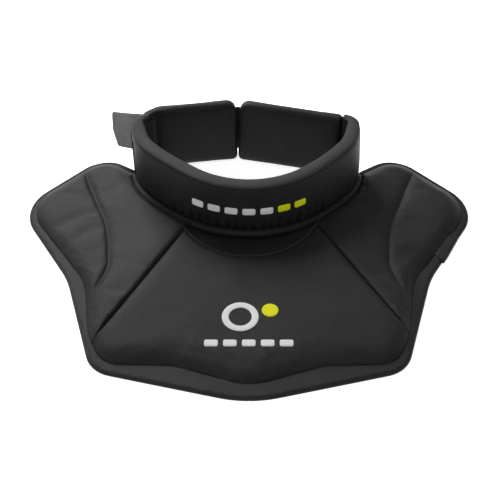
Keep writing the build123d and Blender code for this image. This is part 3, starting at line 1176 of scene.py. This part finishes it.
    def _band_stitches(self, side: Side, outer: Points) -> None:
        """Row of topstitching just inside the band's outer edge."""
        line = evenly(outer[1:], 1.0 * MM)
        row = line + leftward(directions(line)) * 2.6 * MM
        row = row if side is Side.RIGHT else flipped(row)
        route = GROUND.surface(row[:, 0], row[:, 1], np.full(len(row), self.band_height - 0.08 * MM))
        stitches = StitchRow(f"{side.word}_edge_band_stitches", route).build()
        self.wardrobe.dress(stitches, "binding_tape")
        fold_blend(stitches)

    def _band_lap(self, outer: Points) -> None:
        """The end of the band where it laps over its start, on the right wing."""
        line = evenly(outer[1:], 1.0 * MM)
        wing = int(np.abs(line - np.array([144.5, -1.0]) * MM).sum(axis=1).argmin())
        length = 34
        part = line[wing : wing + length]
        tangent = directions(part)
        inward = leftward(tangent)
        share = np.linspace(0, 1, length)
        out = part - inward * (1.5 * MM * np.clip(1.3 - 1.3 * share, 0, 1))[:, None]
        depth = 9.5 * MM * (1 - 0.12 * share)
        back = part + inward * depth[:, None]
        lean = tangent[0] * 3.5 * MM
        start = np.array([back[0] + lean, out[0]])
        runs = [
            (out, Edge(1.6 * MM, 1.6 * MM)),
            (np.array([out[-1], back[-1]]), Edge(2.2 * MM, 9 * MM)),
            (np.concatenate([back[:3:-1], start[:1]]), Edge(0.8 * MM, 2.4 * MM)),
            (start, Edge(0.35 * MM, 0.7 * MM)),
        ]
        lap = Panel(
            "right_edge_band_lap",
            runs,
            GROUND.surface,
            3.2 * MM,
            base=0.3 * MM,
            step=1.3 * MM,
            unevenness=0.05 * MM,
        )
        piece = lap.build()
        subdivide(piece)
        self.wardrobe.dress(piece, "binding_tape")
        fold_blend(piece)

    def build_lining(self) -> None:
        """Makes the soft underside in two halves."""
        neck = COLLAR.neckline(0.2 * MM)
        rear, neck_rear = meeting(self.pad_line, neck)
        for side in Side:
            line = self._past_middle(stretch(self.pad_line, 0, rear))
            inner = self._past_middle(stretch(neck, 0, neck_rear))[::-1]
            closing = np.array([inner[-1], line[0]])
            flat = Edge(0.0, 1 * MM)
            runs = [(line, flat), (inner, flat), (closing, FLUSH)]
            sheet = Panel(
                f"{side.word}_bib_lining_sheet", placed(runs, side), GROUND.surface, self.cloth, step=4.0 * MM
            )
            piece = sheet.build()
            self.wardrobe.dress(piece, "brushed_lining")
            fold_blend(piece)
            nodes = [f"{side.word}_outer_wing_lining"] + (["bib_lining"] if side is Side.RIGHT else [])
            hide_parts(*nodes)


# ---------------------------------------------------------------------- stitches


@dataclass(frozen=True)
class StitchRow:
    """A row of short thread stitches along a line in space."""

    name: str
    route: Points
    pitch: float = 3.4 * MM
    length: float = 2.5 * MM
    radius: float = 0.32 * MM
    sides: int = 6

    def build(self) -> Piece:
        """Makes all stitches of the row as one piece.

        Returns:
            The new piece.
        """
        centres = evenly(self.route, self.pitch)
        tangents = directions(centres)
        vertices: list[np.ndarray] = []
        faces: list[tuple[int, ...]] = []
        angles = np.linspace(0, 2 * math.pi, self.sides, endpoint=False)
        for centre, tangent in zip(centres, tangents):
            side = np.cross(tangent, [0.0, 0.0, 1.0])
            if np.linalg.norm(side) < 1e-6:
                side = np.array([1.0, 0.0, 0.0])
            side /= np.linalg.norm(side)
            lift = np.cross(side, tangent)
            start = len(vertices)
            vertices.append(centre - tangent * self.length / 2)
            for share in (-0.3, 0.3):
                for angle in angles:
                    ring = side * math.cos(angle) + lift * math.sin(angle)
                    vertices.append(centre + tangent * self.length * share + ring * self.radius)
            vertices.append(centre + tangent * self.length / 2)
            last = len(vertices) - 1
            for k in range(self.sides):
                after = (k + 1) % self.sides
                first, second = start + 1, start + 1 + self.sides
                faces.append((start, first + after, first + k))
                faces.append((first + k, first + after, second + after, second + k))
                faces.append((last, second + k, second + after))
        return make_object(self.name, vertices, faces)


# ---------------------------------------------------------------------- the collar


@dataclass
class CollarRing:
    """The padded collar: face cloth with gathers, top welt, lining, hem, ends and piping."""

    wardrobe: Wardrobe
    wall: float = 11 * MM
    cloth: float = 0.8 * MM
    bulge: float = 0.9 * MM
    seam_z: float = 52.9 * MM
    gather_height: float = 15 * MM
    piping_radius: float = 3.1 * MM
    piping_front_z: float = 14.3 * MM
    piping_slope: float = 0.08

    def __post_init__(self) -> None:
        """Works out the path and where its left end meets the left back pad."""
        self.places, self.headings = COLLAR.whole()
        steps = np.linalg.norm(np.diff(self.places, axis=0), axis=1)
        self.along = np.concatenate([[0.0], np.cumsum(steps)])
        self.along -= self.along[-1] / 2
        to_end = self.along[-1] - np.abs(self.along)
        near = np.clip(1 - to_end / (26 * MM), 0, 1) ** 1.3
        self.slimness = 1 - near * np.where(self.along < 0, 0.6, 0.45)
        self.seat_slope = math.tan(math.radians(8.7))
        centre_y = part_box("centre_hinge_seam")[0].y + 0.7 * MM
        centre_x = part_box("centre_hinge_seam")[0].x + 0.7 * MM
        self.seat_at = (centre_x, centre_y - 10.1 * MM / math.cos(math.radians(8.7)))

    def _seated(self, points: Points) -> Points:
        """Keeps the collar's left end on this side of the left back pad's inner face."""
        limit = self.seat_at[1] + (points[:, 0] - self.seat_at[0]) * self.seat_slope
        at_left = points[:, 0] < -40 * MM
        points[:, 1] = np.where(at_left, np.minimum(points[:, 1], limit), points[:, 1])
        return points

    def _row(self, inset: Points | float, z: Points | float) -> Points:
        """One line of points round the collar, whose wall slims down at both ends."""
        return self._seated(COLLAR.at(self.places, self.headings, inset * self.slimness, z))

    def _heart(self, place: Points) -> Points:
        """Middle of the ring at a point's height."""
        return np.array([0, 0.075, place[2]])

    def _gathers(self) -> Points:
        """Depth of the gathering folds along the path at the collar's foot."""
        random = np.random.default_rng(7)
        folds = np.zeros(len(self.along))
        at = -60 * MM
        while at < 66 * MM:
            width = random.uniform(1.3, 2.1) * MM
            depth = random.uniform(3.2, 5.2) * MM * (1.0 if abs(at) < 47 * MM else 0.45)
            folds += depth * np.exp(-(((self.along - at) / width) ** 2))
            folds -= 0.25 * depth * np.exp(-(((self.along - at - 3.2 * MM) / (1.6 * MM)) ** 2))
            at += random.uniform(5.6, 8.4) * MM
        return folds

    def _strip(self, name: str, rows: Sequence[Points], way: Way, slot: str, *nodes: str) -> Piece:
        """Sheet of cloth through rows of points, dressed and fixed to the collar."""
        strip = grid_sheet(name, np.array(rows), self.cloth, way)
        self.wardrobe.fit(strip, slot, Body.BIB, *nodes)
        return strip

    def _wall(
        self,
        count: int,
        inset: Callable[[float, Points], Points | float],
        ripple: tuple[float, int, float],
    ) -> list[Points]:
        """Rows of points up one face of the wall.

        Args:
            count: Number of rows.
            inset: Gives the distance in from the outer face, from the share of the height and the heights.
            ripple: Scale, seed and size of the cloth's small unevenness.

        Returns:
            The rows, from the bottom up.
        """
        bottom = COLLAR.bottom(self.places) + 0.5 * MM
        scale, seed, size = ripple
        rows = []
        for share in np.linspace(0, 1, count):
            z = bottom + share * (self.seam_z - bottom)
            deep = inset(share, z)
            wave = soft_noise(self._row(deep, z), scale, seed) * size * math.sin(math.pi * share)
            rows.append(self._row(deep + wave, z))
        return rows

    def build(self) -> None:
        """Makes every piece of the collar."""
        self._face()
        self._welt()
        self._lining()
        self._hem()
        self._ends()
        self._piping()
        self._patch()

    def _face(self) -> None:
        """Outer cover: slightly bulged, with gathers above the piping at the front."""
        folds = self._gathers()

        def inset(share: float, z: Points) -> Points:
            """How far the cover sits in from the outer face."""
            swell = self.bulge * math.sin(math.pi * share) ** 0.6
            tuck = 0.7 * MM * max(0.0, 1 - (1 - share) * 18) ** 2
            above = (z - self.piping_front_z) / self.gather_height
            fade = np.clip(1 - above, 0, 1) ** 1.5
            ease = np.clip(1.15 - np.abs(above - 0.15), 0, 1)
            return tuck - swell + folds * fade * ease

        rows = self._wall(34, inset, (60, 4, 0.22 * MM))
        nodes = ("collar_outer_cover", "collar_cut_liner", "collar_foam")
        face = self._strip("collar_face", rows, lambda p: p - self._heart(p), "black_twill", *nodes)

    def _welt(self) -> None:
        """Lighter strip that closes the top, with small puckers at its seams."""
        section = [
            (0.9, -0.3), (0.25, 0.15), (0.35, 0.9), (1.3, 1.55), (3.2, 1.9), (5.5, 2.0),
            (7.8, 1.9), (9.7, 1.55), (10.65, 0.9), (10.75, 0.15), (10.1, -0.3),
        ]
        rows = []
        for inset, lift in section:
            row = self._row(inset * MM, self.seam_z + lift * MM)
            pucker = soft_noise(row, 160, 2) * 0.22 * MM + soft_noise(row, 45, 9) * 0.3 * MM
            row[:, 2] += pucker * (1.0 if 1 < inset < 10 else 0.3)
            rows.append(row)
        up = np.array([0, 0, 1.0])
        self._strip("collar_welt_strip", rows, lambda p: up, "grey_welt", "collar_top_welt")

    def _lining(self) -> None:
        """Inside face of the collar."""

        def inset(share: float, z: Points) -> float:
            """How far the lining sits in from the outer face; the height plays no part."""
            swell = 0.7 * MM * math.sin(math.pi * share) ** 0.7
            tuck = 0.6 * MM * max(0.0, 1 - (1 - share) * 14) ** 2
            return self.wall + swell - tuck

        rows = np.array(self._wall(22, inset, (55, 11, 0.25 * MM)))
        lining = self._strip(
            "collar_lining_face",
            rows,
            lambda p: self._heart(p) - p,
            "brushed_lining",
            "collar_lining",
        )

    def _hem(self) -> None:
        """Strip that closes the collar underneath."""
        bottom = COLLAR.bottom(self.places)
        section = [(0.1, 1.0), (0.3, 0.35), (1.0, 0.05), (5.5, 0.0), (10.0, 0.05), (10.7, 0.35), (10.9, 1.0)]
        rows = [self._row(inset * MM, bottom + lift * MM) for inset, lift in section]
        down = np.array([0, 0, -1.0])
        self._strip("collar_hem_strip", rows, lambda p: down, "binding_tape", "collar_bottom_hem")

    def _ends(self) -> None:
        """Rounded caps that close the collar's two rear ends."""
        for index, word, bulge in ((0, "left", 0.35 * MM), (-1, "right", 0.6 * MM)):
            place = self.places[index : (index + 1) or None]
            heading = self.headings[index : (index + 1) or None]
            outward = np.array([math.cos(heading[0]), math.sin(heading[0]), 0.0]) * (1 if index else -1)
            rows = []
            for share in np.linspace(0, 1, 20):
                z = 0.6 * MM + share * (self.seam_z - 0.2 * MM)
                outer = self._seated(COLLAR.at(place, heading, 0.1 * MM, z))[0]
                inner = self._seated(COLLAR.at(place, heading, self.wall * self.slimness[index], z))[0]
                angles = np.linspace(0, math.pi, 13)
                middle, reach = (outer + inner) / 2, (outer - inner) / 2
                rows.append(
                    middle + np.cos(angles)[:, None] * reach + np.sin(angles)[:, None] * outward * bulge
                )
            self._strip(f"collar_{word}_end_cap", rows, lambda p, way=outward: way, "black_twill")

    def _piping(self) -> None:
        """Corded ridge along the neckline."""
        places, headings = self.places, self.headings
        keep = np.abs(headings) < math.radians(86)
        turned = np.clip((np.abs(np.degrees(headings[keep])) - 48) / 36, 0, 1)
        out = (self.piping_radius + 0.15 * MM) * (1 - 0.8 * turned)
        base = COLLAR.at(places[keep], headings[keep], -out, self.piping_front_z)
        front = base[:, 1].min()
        base[:, 2] = self.piping_front_z - (base[:, 1] - front) * self.piping_slope
        line = evenly(base, 1.2 * MM)
        radii = self.piping_radius * (1 + 0.05 * soft_noise(line, 140, 6) + 0.03 * soft_noise(line, 420, 8))
        taper = np.minimum(np.arange(len(line)), np.arange(len(line))[::-1])
        end = np.clip(1 - taper / 8, 0, 1)
        radii *= 1 - 0.55 * end**2
        line[:, 2] -= 2.4 * MM * end**2
        piping = tube("neckline_cord", line, radii)
        self.wardrobe.fit(piping, "binding_tape", Body.BIB, "neckline_piping")

    def _patch(self) -> None:
        """Loop patch on the left side, for the tab."""
        low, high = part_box("closure_patch")
        chosen = (self.places[:, 0] < 0) & (self.places[:, 1] > low.y) & (self.places[:, 1] < high.y)
        places, headings = self.places[chosen], self.headings[chosen]
        rows = [COLLAR.at(places, headings, -1.3 * MM, z) for z in np.linspace(low.z, high.z, 16)]
        patch = grid_sheet("closure_loop_patch", np.array(rows), 1.1 * MM, lambda p: np.array([-1.0, 0, 0]))
        self.wardrobe.fit(patch, "loop_tape", Body.BIB, "closure_patch")

    def point(self, along: Points, z: Points, out: Points) -> Points:
        """Points over the collar's face, by distance along it, height and distance out."""
        places = np.stack([np.interp(along, self.along, self.places[:, axis]) for axis in (0, 1)], axis=1)
        headings = np.interp(along, self.along, self.headings)
        bottom = COLLAR.bottom(places) + 0.5 * MM
        share = np.clip((z - bottom) / (self.seam_z - bottom), 0, 1)
        swell = self.bulge * np.sin(np.pi * share) ** 0.6
        return COLLAR.at(places, headings, -swell - out, z)


# ---------------------------------------------------------------------- back pads and tab


@dataclass
class BackClosure:
    """The two hinged back pads, their hinge webs and the fastening tab."""

    wardrobe: Wardrobe
    right_heading: float = 166.0
    left_heading: float = 188.7
    tab_heading: float = 172.0
    thickness: float = 9.5 * MM
    height: float = 53 * MM
    edge: Edge = Edge(3.1 * MM, 4.2 * MM)
    lean: float = 6.0 * MM
    droop: float = 5.5 * MM
    panels: list[Panel] = field(default_factory=list)

    def __post_init__(self) -> None:
        """Reads the hinge places from the frame."""
        self.right_hinge = self._middle("right_hinge_seam")
        self.centre_hinge = self._middle("centre_hinge_seam")
        self.right_length = float(np.linalg.norm(self.centre_hinge - self.right_hinge))
        low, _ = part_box("left_back_pad_cover")
        cosine = abs(math.cos(math.radians(self.left_heading)))
        self.left_length = (self.centre_hinge[0] - low.x) / cosine

    def _middle(self, node: str) -> Points:
        """Plan point at the middle of an upright node."""
        low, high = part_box(node)
        return np.array([(low.x + high.x) / 2, (low.y + high.y) / 2])

    def _upright(self, start: Points, heading: float, lean: float = 0.0) -> Surface:
        """Surface that stands on a plan line.

        Args:
            start: Plan point that the line starts from.
            heading: Its direction in degrees.
            lean: How far its top leans out beyond its bottom.

        Returns:
            A surface whose coordinates run along the line, up, and out of its outer side.
        """
        along = heading_vector(heading)
        outward = np.array([along[1], -along[0]])

        def surface(u: Points, v: Points, h: Points) -> Points:
            """Place along the line, up it and out of it."""
            out = np.broadcast_to(h, u.shape) + lean * (v / self.height - 0.5)
            plan = start + u[:, None] * along + out[:, None] * outward
            return np.concatenate([plan, v[:, None]], axis=1)

        return surface

    def _pad_runs(self, first: float, last: float, side: Side) -> list[tuple[Points, Edge]]:
        """Edges of a back pad, with a large rounding at its top corner by the centre back."""
        bottom, wide, tight = 4 * MM, 8 * MM, 1.5 * MM
        top = self.height
        corners = [(first, 0, bottom), (last, 0, bottom)]
        if side is Side.RIGHT:
            corners += [(last, top, wide), (first, top, tight)]
        else:
            corners += [(last, top - self.droop, 3 * MM), (last - 12 * MM, top, 14 * MM), (first, top, wide)]
        outline = rounded_path(corners, closed=True)
        return [(looped(outline), self.edge)]

    def build_pads(self) -> None:
        """Makes both back pads before they are filled."""
        gap, mitre = 0.8 * MM, 1.9 * MM
        for side, start, heading, first, last in (
            (Side.RIGHT, self.right_hinge, self.right_heading, gap, self.right_length - mitre),
            (Side.LEFT, self.centre_hinge, self.left_heading, mitre, self.left_length),
        ):
            panel = Panel(
                f"{side.word}_back_pad_cushion",
                self._pad_runs(first, last, side),
                self._upright(start, heading, self.lean),
                self.thickness,
                base=-self.thickness,
                both_faces=True,
                creases=() if side is Side.RIGHT else (self._fold(last),),
                unevenness=0.2 * MM,
                seed=30 + side.value,
                swell=0.7 * MM,
            )
            panel.build()
            self.panels.append(panel)

    def _fold(self, last: float) -> Crease:
        """The upright fold near the left pad's outer end."""
        at = last / MM - 10.5
        return Crease((at - 0.6, self.height / MM - 3), (at + 0.8, 8), 1.7, 1.5)

    def finish_pads(self) -> None:
        """Smooths and dresses the filled back pads and joins them to the frame."""
        for panel, side in zip(self.panels, (Side.RIGHT, Side.LEFT)):
            subdivide(panel.piece)
            body = Body.RIGHT_PAD if side is Side.RIGHT else Body.LEFT_PAD
            nodes = [f"{side.word}_back_pad_{layer}" for layer in ("cover", "foam")]
            self.wardrobe.fit(panel.piece, "black_twill", body, *nodes)

    def _web(self, name: str, start: Points, before: float, after: float, top: float) -> Piece:
        """Strip of cloth over the outer side of a hinge, up to a height."""
        rows = []
        reach = np.linspace(-6 * MM, 6 * MM, 15)
        for z in np.linspace(3 * MM, top, 20):
            row = []
            for u in reach:
                along = heading_vector(before if u < 0 else after)
                outward = np.array([along[1], -along[0]])
                lift = 0.5 * MM * (1 - (u / reach[-1]) ** 2) - 0.25 * MM * (u / reach[-1]) ** 2
                row.append([*(start + along * u + outward * lift), z])
            rows.append(row)
        middle = math.radians((before + after) / 2)
        way = np.array([math.sin(middle), -math.cos(middle), 0.0])
        return grid_sheet(name, np.array(rows), 0.7 * MM, lambda p: way)

    def build_webs(self) -> None:
        """Makes the cloth over both hinges."""
        for name, start, before, after, top, bodies, node in (
            (
                "right_hinge_web", self.right_hinge, self.right_heading, self.right_heading, 51 * MM,
                (Body.BIB, Body.RIGHT_PAD), "right_hinge_seam",
            ),
            (
                "centre_hinge_web", self.centre_hinge, self.right_heading, self.left_heading, 45 * MM,
                (Body.RIGHT_PAD, Body.LEFT_PAD), "centre_hinge_seam",
            ),
        ):
            web = self._web(name, start, before, after, top)
            self.wardrobe.dress(web, "binding_tape")
            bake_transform(web)
            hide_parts(node)

    def build_tab(self) -> None:
        """Makes the tab: a woven tape with a napped fastening face, sewn round its rim."""
        low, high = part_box("tab_root")
        forward = heading_vector(self.left_heading)
        pivot = self.centre_hinge + forward * (self.left_length + 2.0 * MM)
        pivot += 2.2 * MM * heading_vector(self.left_heading + 90)
        flat = self._upright(pivot, self.tab_heading)

        def curled(u: Points, v: Points, h: Points) -> Points:
            """The flat tab with a slight curl and wave."""
            lift = 0.9 * MM * (np.clip(u, 0, None) / (20 * MM)) ** 2 + 0.5 * MM * np.sin(v / (11 * MM))
            return flat(u, v, h + lift)

        bottom, top = low.z, high.z
        free_edge = [
            (20.2 * MM, bottom + 2.0 * MM, 1.6 * MM),
            (23.2 * MM, bottom + 18 * MM, 20 * MM),
            (22.4 * MM, top, 0.7 * MM),
        ]
        root = [(-5 * MM, bottom), (-5 * MM, top + 1.0 * MM)]
        outline = rounded_path([(*root[0], 0.0), *free_edge, (*root[1], 0.0)], closed=True)
        runs = [(looped(outline), Edge(0.5 * MM, 0.9 * MM))]
        for name, slot, base, thick, node in (
            ("closure_tab_tape", "tab_tape", -0.1 * MM, 1.2 * MM, "closure_tab"),
            ("closure_tab_hook_face", "hook_tape", -1.2 * MM, 1.15 * MM, "closure_tab_hooks"),
        ):
            panel = Panel(name, runs, curled, thick, base=base, step=1.5 * MM, both_faces=True)
            piece = panel.build()
            subdivide(piece)
            self.wardrobe.dress(piece, slot)
            self._bend_tab(piece)
            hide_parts(node, *(["tab_root"] if node == "closure_tab" else []))
        inset = 1.9 * MM
        corners = [(free_edge[0][0] - inset, free_edge[0][1] + inset), (22.1 * MM - inset, top - inset)]
        bend = (free_edge[1][0] - inset, free_edge[1][1], free_edge[1][2])
        line = [(1 * MM, bottom + inset, 0.0), (*corners[0], 1 * MM), bend, (*corners[1], 1 * MM)]
        ring = rounded_path([*line, (1 * MM, top + 0.6 * MM - inset, 0.0)], closed=False)
        for word, out in (("inner", -1.2 * MM), ("outer", 1.05 * MM)):
            line = evenly(ring, 0.8 * MM)
            route = curled(line[:, 0], line[:, 1], np.full(len(line), out))
            row = StitchRow(f"closure_tab_{word}_stitches", route, 2.6 * MM, 1.9 * MM, 0.25 * MM).build()
            self.wardrobe.dress(row, "tab_tape")
            self._bend_tab(row)

    def _bend_tab(self, piece: Piece) -> None:
        """Bakes the placement of a piece of the tab into its mesh."""
        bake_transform(piece)


# ---------------------------------------------------------------------- embroidery


@dataclass
class Embroidery:
    """Plain raised stitching on the bib and on the collar's front."""

    wardrobe: Wardrobe
    ring: CollarRing
    cushion: Piece
    height: float = 0.85 * MM
    edge: Edge = Edge(0.45 * MM, 0.9 * MM)
    bar_size: tuple[float, float] = (9.6 * MM, 5.8 * MM)
    bar_rounding: float = 0.9 * MM
    pitch: float = 13 * MM
    bib_bars: int = 5
    bib_bar_y: float = -88 * MM
    collar_bars: int = 7
    white_bars: int = 5
    collar_bar_z: float = 33 * MM
    ring_at: tuple[float, float] = (-6 * MM, -65 * MM)
    ring_radius: float = 10.5 * MM
    ring_width: float = 5 * MM
    dot_at: tuple[float, float] = (15 * MM, -59 * MM)
    dot_radius: float = 6 * MM

    def __post_init__(self) -> None:
        """Prepares the filled centre pad as the ground for the stitching."""
        mesh = self.cushion.data
        self.tree = BVHTree.FromPolygons([v.co for v in mesh.vertices], [p.vertices for p in mesh.polygons])

    def _on_bib(self, x: Points, y: Points, h: Points) -> Points:
        """Points over the centre pad's filled top."""
        top = [self.tree.ray_cast(Vector((a, b, 0.1)), Vector((0, 0, -1)))[0].z for a, b in zip(x, y)]
        return np.stack([x, y, np.array(top) + h], axis=1)

    def _patch(self, name: str, outline: Points, surface: Surface, node: str, slot: str) -> None:
        """One closed patch of stitching."""
        runs = [(looped(outline), self.edge)]
        panel = Panel(name, runs, surface, self.height, base=-0.15 * MM, step=1.1 * MM)
        piece = panel.build()
        subdivide(piece)
        self.wardrobe.fit(piece, slot, Body.BIB, node)

    def _bar(self, x: float, y: float) -> Points:
        """Outline of a small bar with rounded corners, around a middle in metres."""
        half, tall = self.bar_size[0] / 2, self.bar_size[1] / 2
        corners = [(x - half, y - tall), (x + half, y - tall), (x + half, y + tall), (x - half, y + tall)]
        return rounded_path([(*corner, self.bar_rounding) for corner in corners], closed=True)

    def _ring(self) -> None:
        """Flat stitched ring on the bib."""
        around = np.linspace(0, 2 * math.pi, 72, endpoint=False)
        across = np.linspace(0, 2 * math.pi, 12, endpoint=False)
        turn, lean = [grid.ravel() for grid in np.meshgrid(around, across, indexing="ij")]
        radius = self.ring_radius + self.ring_width / 2 * np.sign(np.cos(lean)) * np.abs(np.cos(lean)) ** 0.6
        lift = self.height * (0.35 + 0.5 * np.sin(lean))
        x, y = self.ring_at[0] + radius * np.cos(turn), self.ring_at[1] + radius * np.sin(turn)
        points = self._on_bib(x, y, lift)
        count, sides = len(around), len(across)
        faces = [
            (
                r * sides + k,
                r * sides + (k + 1) % sides,
                (r + 1) % count * sides + (k + 1) % sides,
                (r + 1) % count * sides + k,
            )
            for r in range(count)
            for k in range(sides)
        ]
        ring = make_object("bib_embroidery_ring", points, faces)
        self.wardrobe.fit(ring, "white_thread", Body.BIB, "bib_embroidery_white")

    def build(self) -> None:
        """Makes the plain marks: a ring, a dot and two rows of bars."""
        self._ring()
        angles = np.linspace(0, 2 * math.pi, 26, endpoint=False)
        circle = np.stack([np.cos(angles), np.sin(angles)], axis=1)
        dot = circle * self.dot_radius + np.array(self.dot_at)
        self._patch("bib_embroidery_dot", dot, self._on_bib, "bib_embroidery_yellow", "yellow_thread")
        for index in range(self.bib_bars):
            x = (index - self.bib_bars // 2) * self.pitch
            name, bar = f"bib_embroidery_bar_{index + 1}", self._bar(x, self.bib_bar_y)
            self._patch(name, bar, self._on_bib, "bib_embroidery_white", "white_thread")
        for index in range(self.collar_bars):
            x = (index - self.collar_bars // 2) * self.pitch
            colour = "white" if index < self.white_bars else "yellow"
            name, node = f"collar_embroidery_bar_{index + 1}", f"collar_embroidery_{colour}"
            self._patch(name, self._bar(x, self.collar_bar_z), self.ring.point, node, f"{colour}_thread")


# ---------------------------------------------------------------------- the studio


@dataclass(frozen=True)
class Studio:
    """Pale floor, soft light and the camera."""

    elevation: float = 44.0
    distance: float = 0.892
    lens: float = 85.0
    target: tuple[float, float, float] = (0.0008, 0.0144, 0.0)

    def build(self) -> None:
        """Makes the floor, the lights, the sky and the camera."""
        scene = bpy.context.scene
        floor = make_object(
            "studio_floor",
            [(-6, -6, -0.0004), (6, -6, -0.0004), (6, 6, -0.0004), (-6, 6, -0.0004)],
            [(0, 1, 2, 3)],
        )
        paper = bpy.data.materials.new("pale_paper")
        paper.use_nodes = True
        shader = paper.node_tree.nodes["Principled BSDF"]
        shader.inputs["Base Color"].default_value = (0.93, 0.93, 0.93, 1)
        shader.inputs["Roughness"].default_value = 0.9
        shader.inputs["Emission Color"].default_value = (1, 1, 1, 1)
        shader.inputs["Emission Strength"].default_value = 0.75
        floor.data.materials.append(paper)
        world = bpy.data.worlds.new("studio_sky")
        world.use_nodes = True
        world.node_tree.nodes["Background"].inputs[0].default_value = (1, 1, 1, 1)
        world.node_tree.nodes["Background"].inputs[1].default_value = 0.36
        scene.world = world
        scene.view_settings.view_transform = "Standard"
        self._lamp("key_light", (-0.42, 0.95, 0.80), 0.5, 18)
        self._lamp("front_fill", (-0.35, -1.3, 1.5), 1.2, 8)
        self._camera(scene)

    def _lamp(self, name: str, place: tuple[float, float, float], size: float, watts: float) -> None:
        """Square area light that points at the object."""
        data = bpy.data.lights.new(name, "AREA")
        data.size, data.energy = size, watts
        lamp = bpy.data.objects.new(name, data)
        lamp.location = place
        lamp.rotation_euler = (Vector((0, 0, 0.02)) - Vector(place)).to_track_quat("-Z", "Y").to_euler()
        bpy.context.scene.collection.objects.link(lamp)

    def _camera(self, scene: bpy.types.Scene) -> None:
        """Camera in front of the guard, looking down at it."""
        data = bpy.data.cameras.new("camera")
        data.lens = self.lens
        camera = bpy.data.objects.new("camera", data)
        tilt = math.radians(self.elevation)
        target = Vector(self.target)
        camera.location = target + Vector((0, -math.cos(tilt), math.sin(tilt))) * self.distance
        camera.rotation_euler = (math.pi / 2 - tilt, 0, 0)
        scene.collection.objects.link(camera)
        scene.camera = camera


def main() -> None:
    """Builds the neck guard around the frame."""
    logging.basicConfig(level=logging.INFO, format="%(message)s")
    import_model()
    wardrobe = Wardrobe()
    bib = Bib(wardrobe)
    bib.build_pads()
    closure = BackClosure(wardrobe)
    closure.build_pads()
    Inflation().run([*bib.pads, *closure.panels])
    bib.finish_pads()
    closure.finish_pads()
    bib.build_throat_cord()
    bib.build_band()
    bib.build_lining()
    log.info("bib done")
    ring = CollarRing(wardrobe)
    ring.build()
    log.info("collar done")
    Embroidery(wardrobe, ring, bib.pads[0].piece).build()
    closure.build_webs()
    closure.build_tab()
    log.info("closure done")
    Studio().build()


if __name__ == "__main__":
    main()
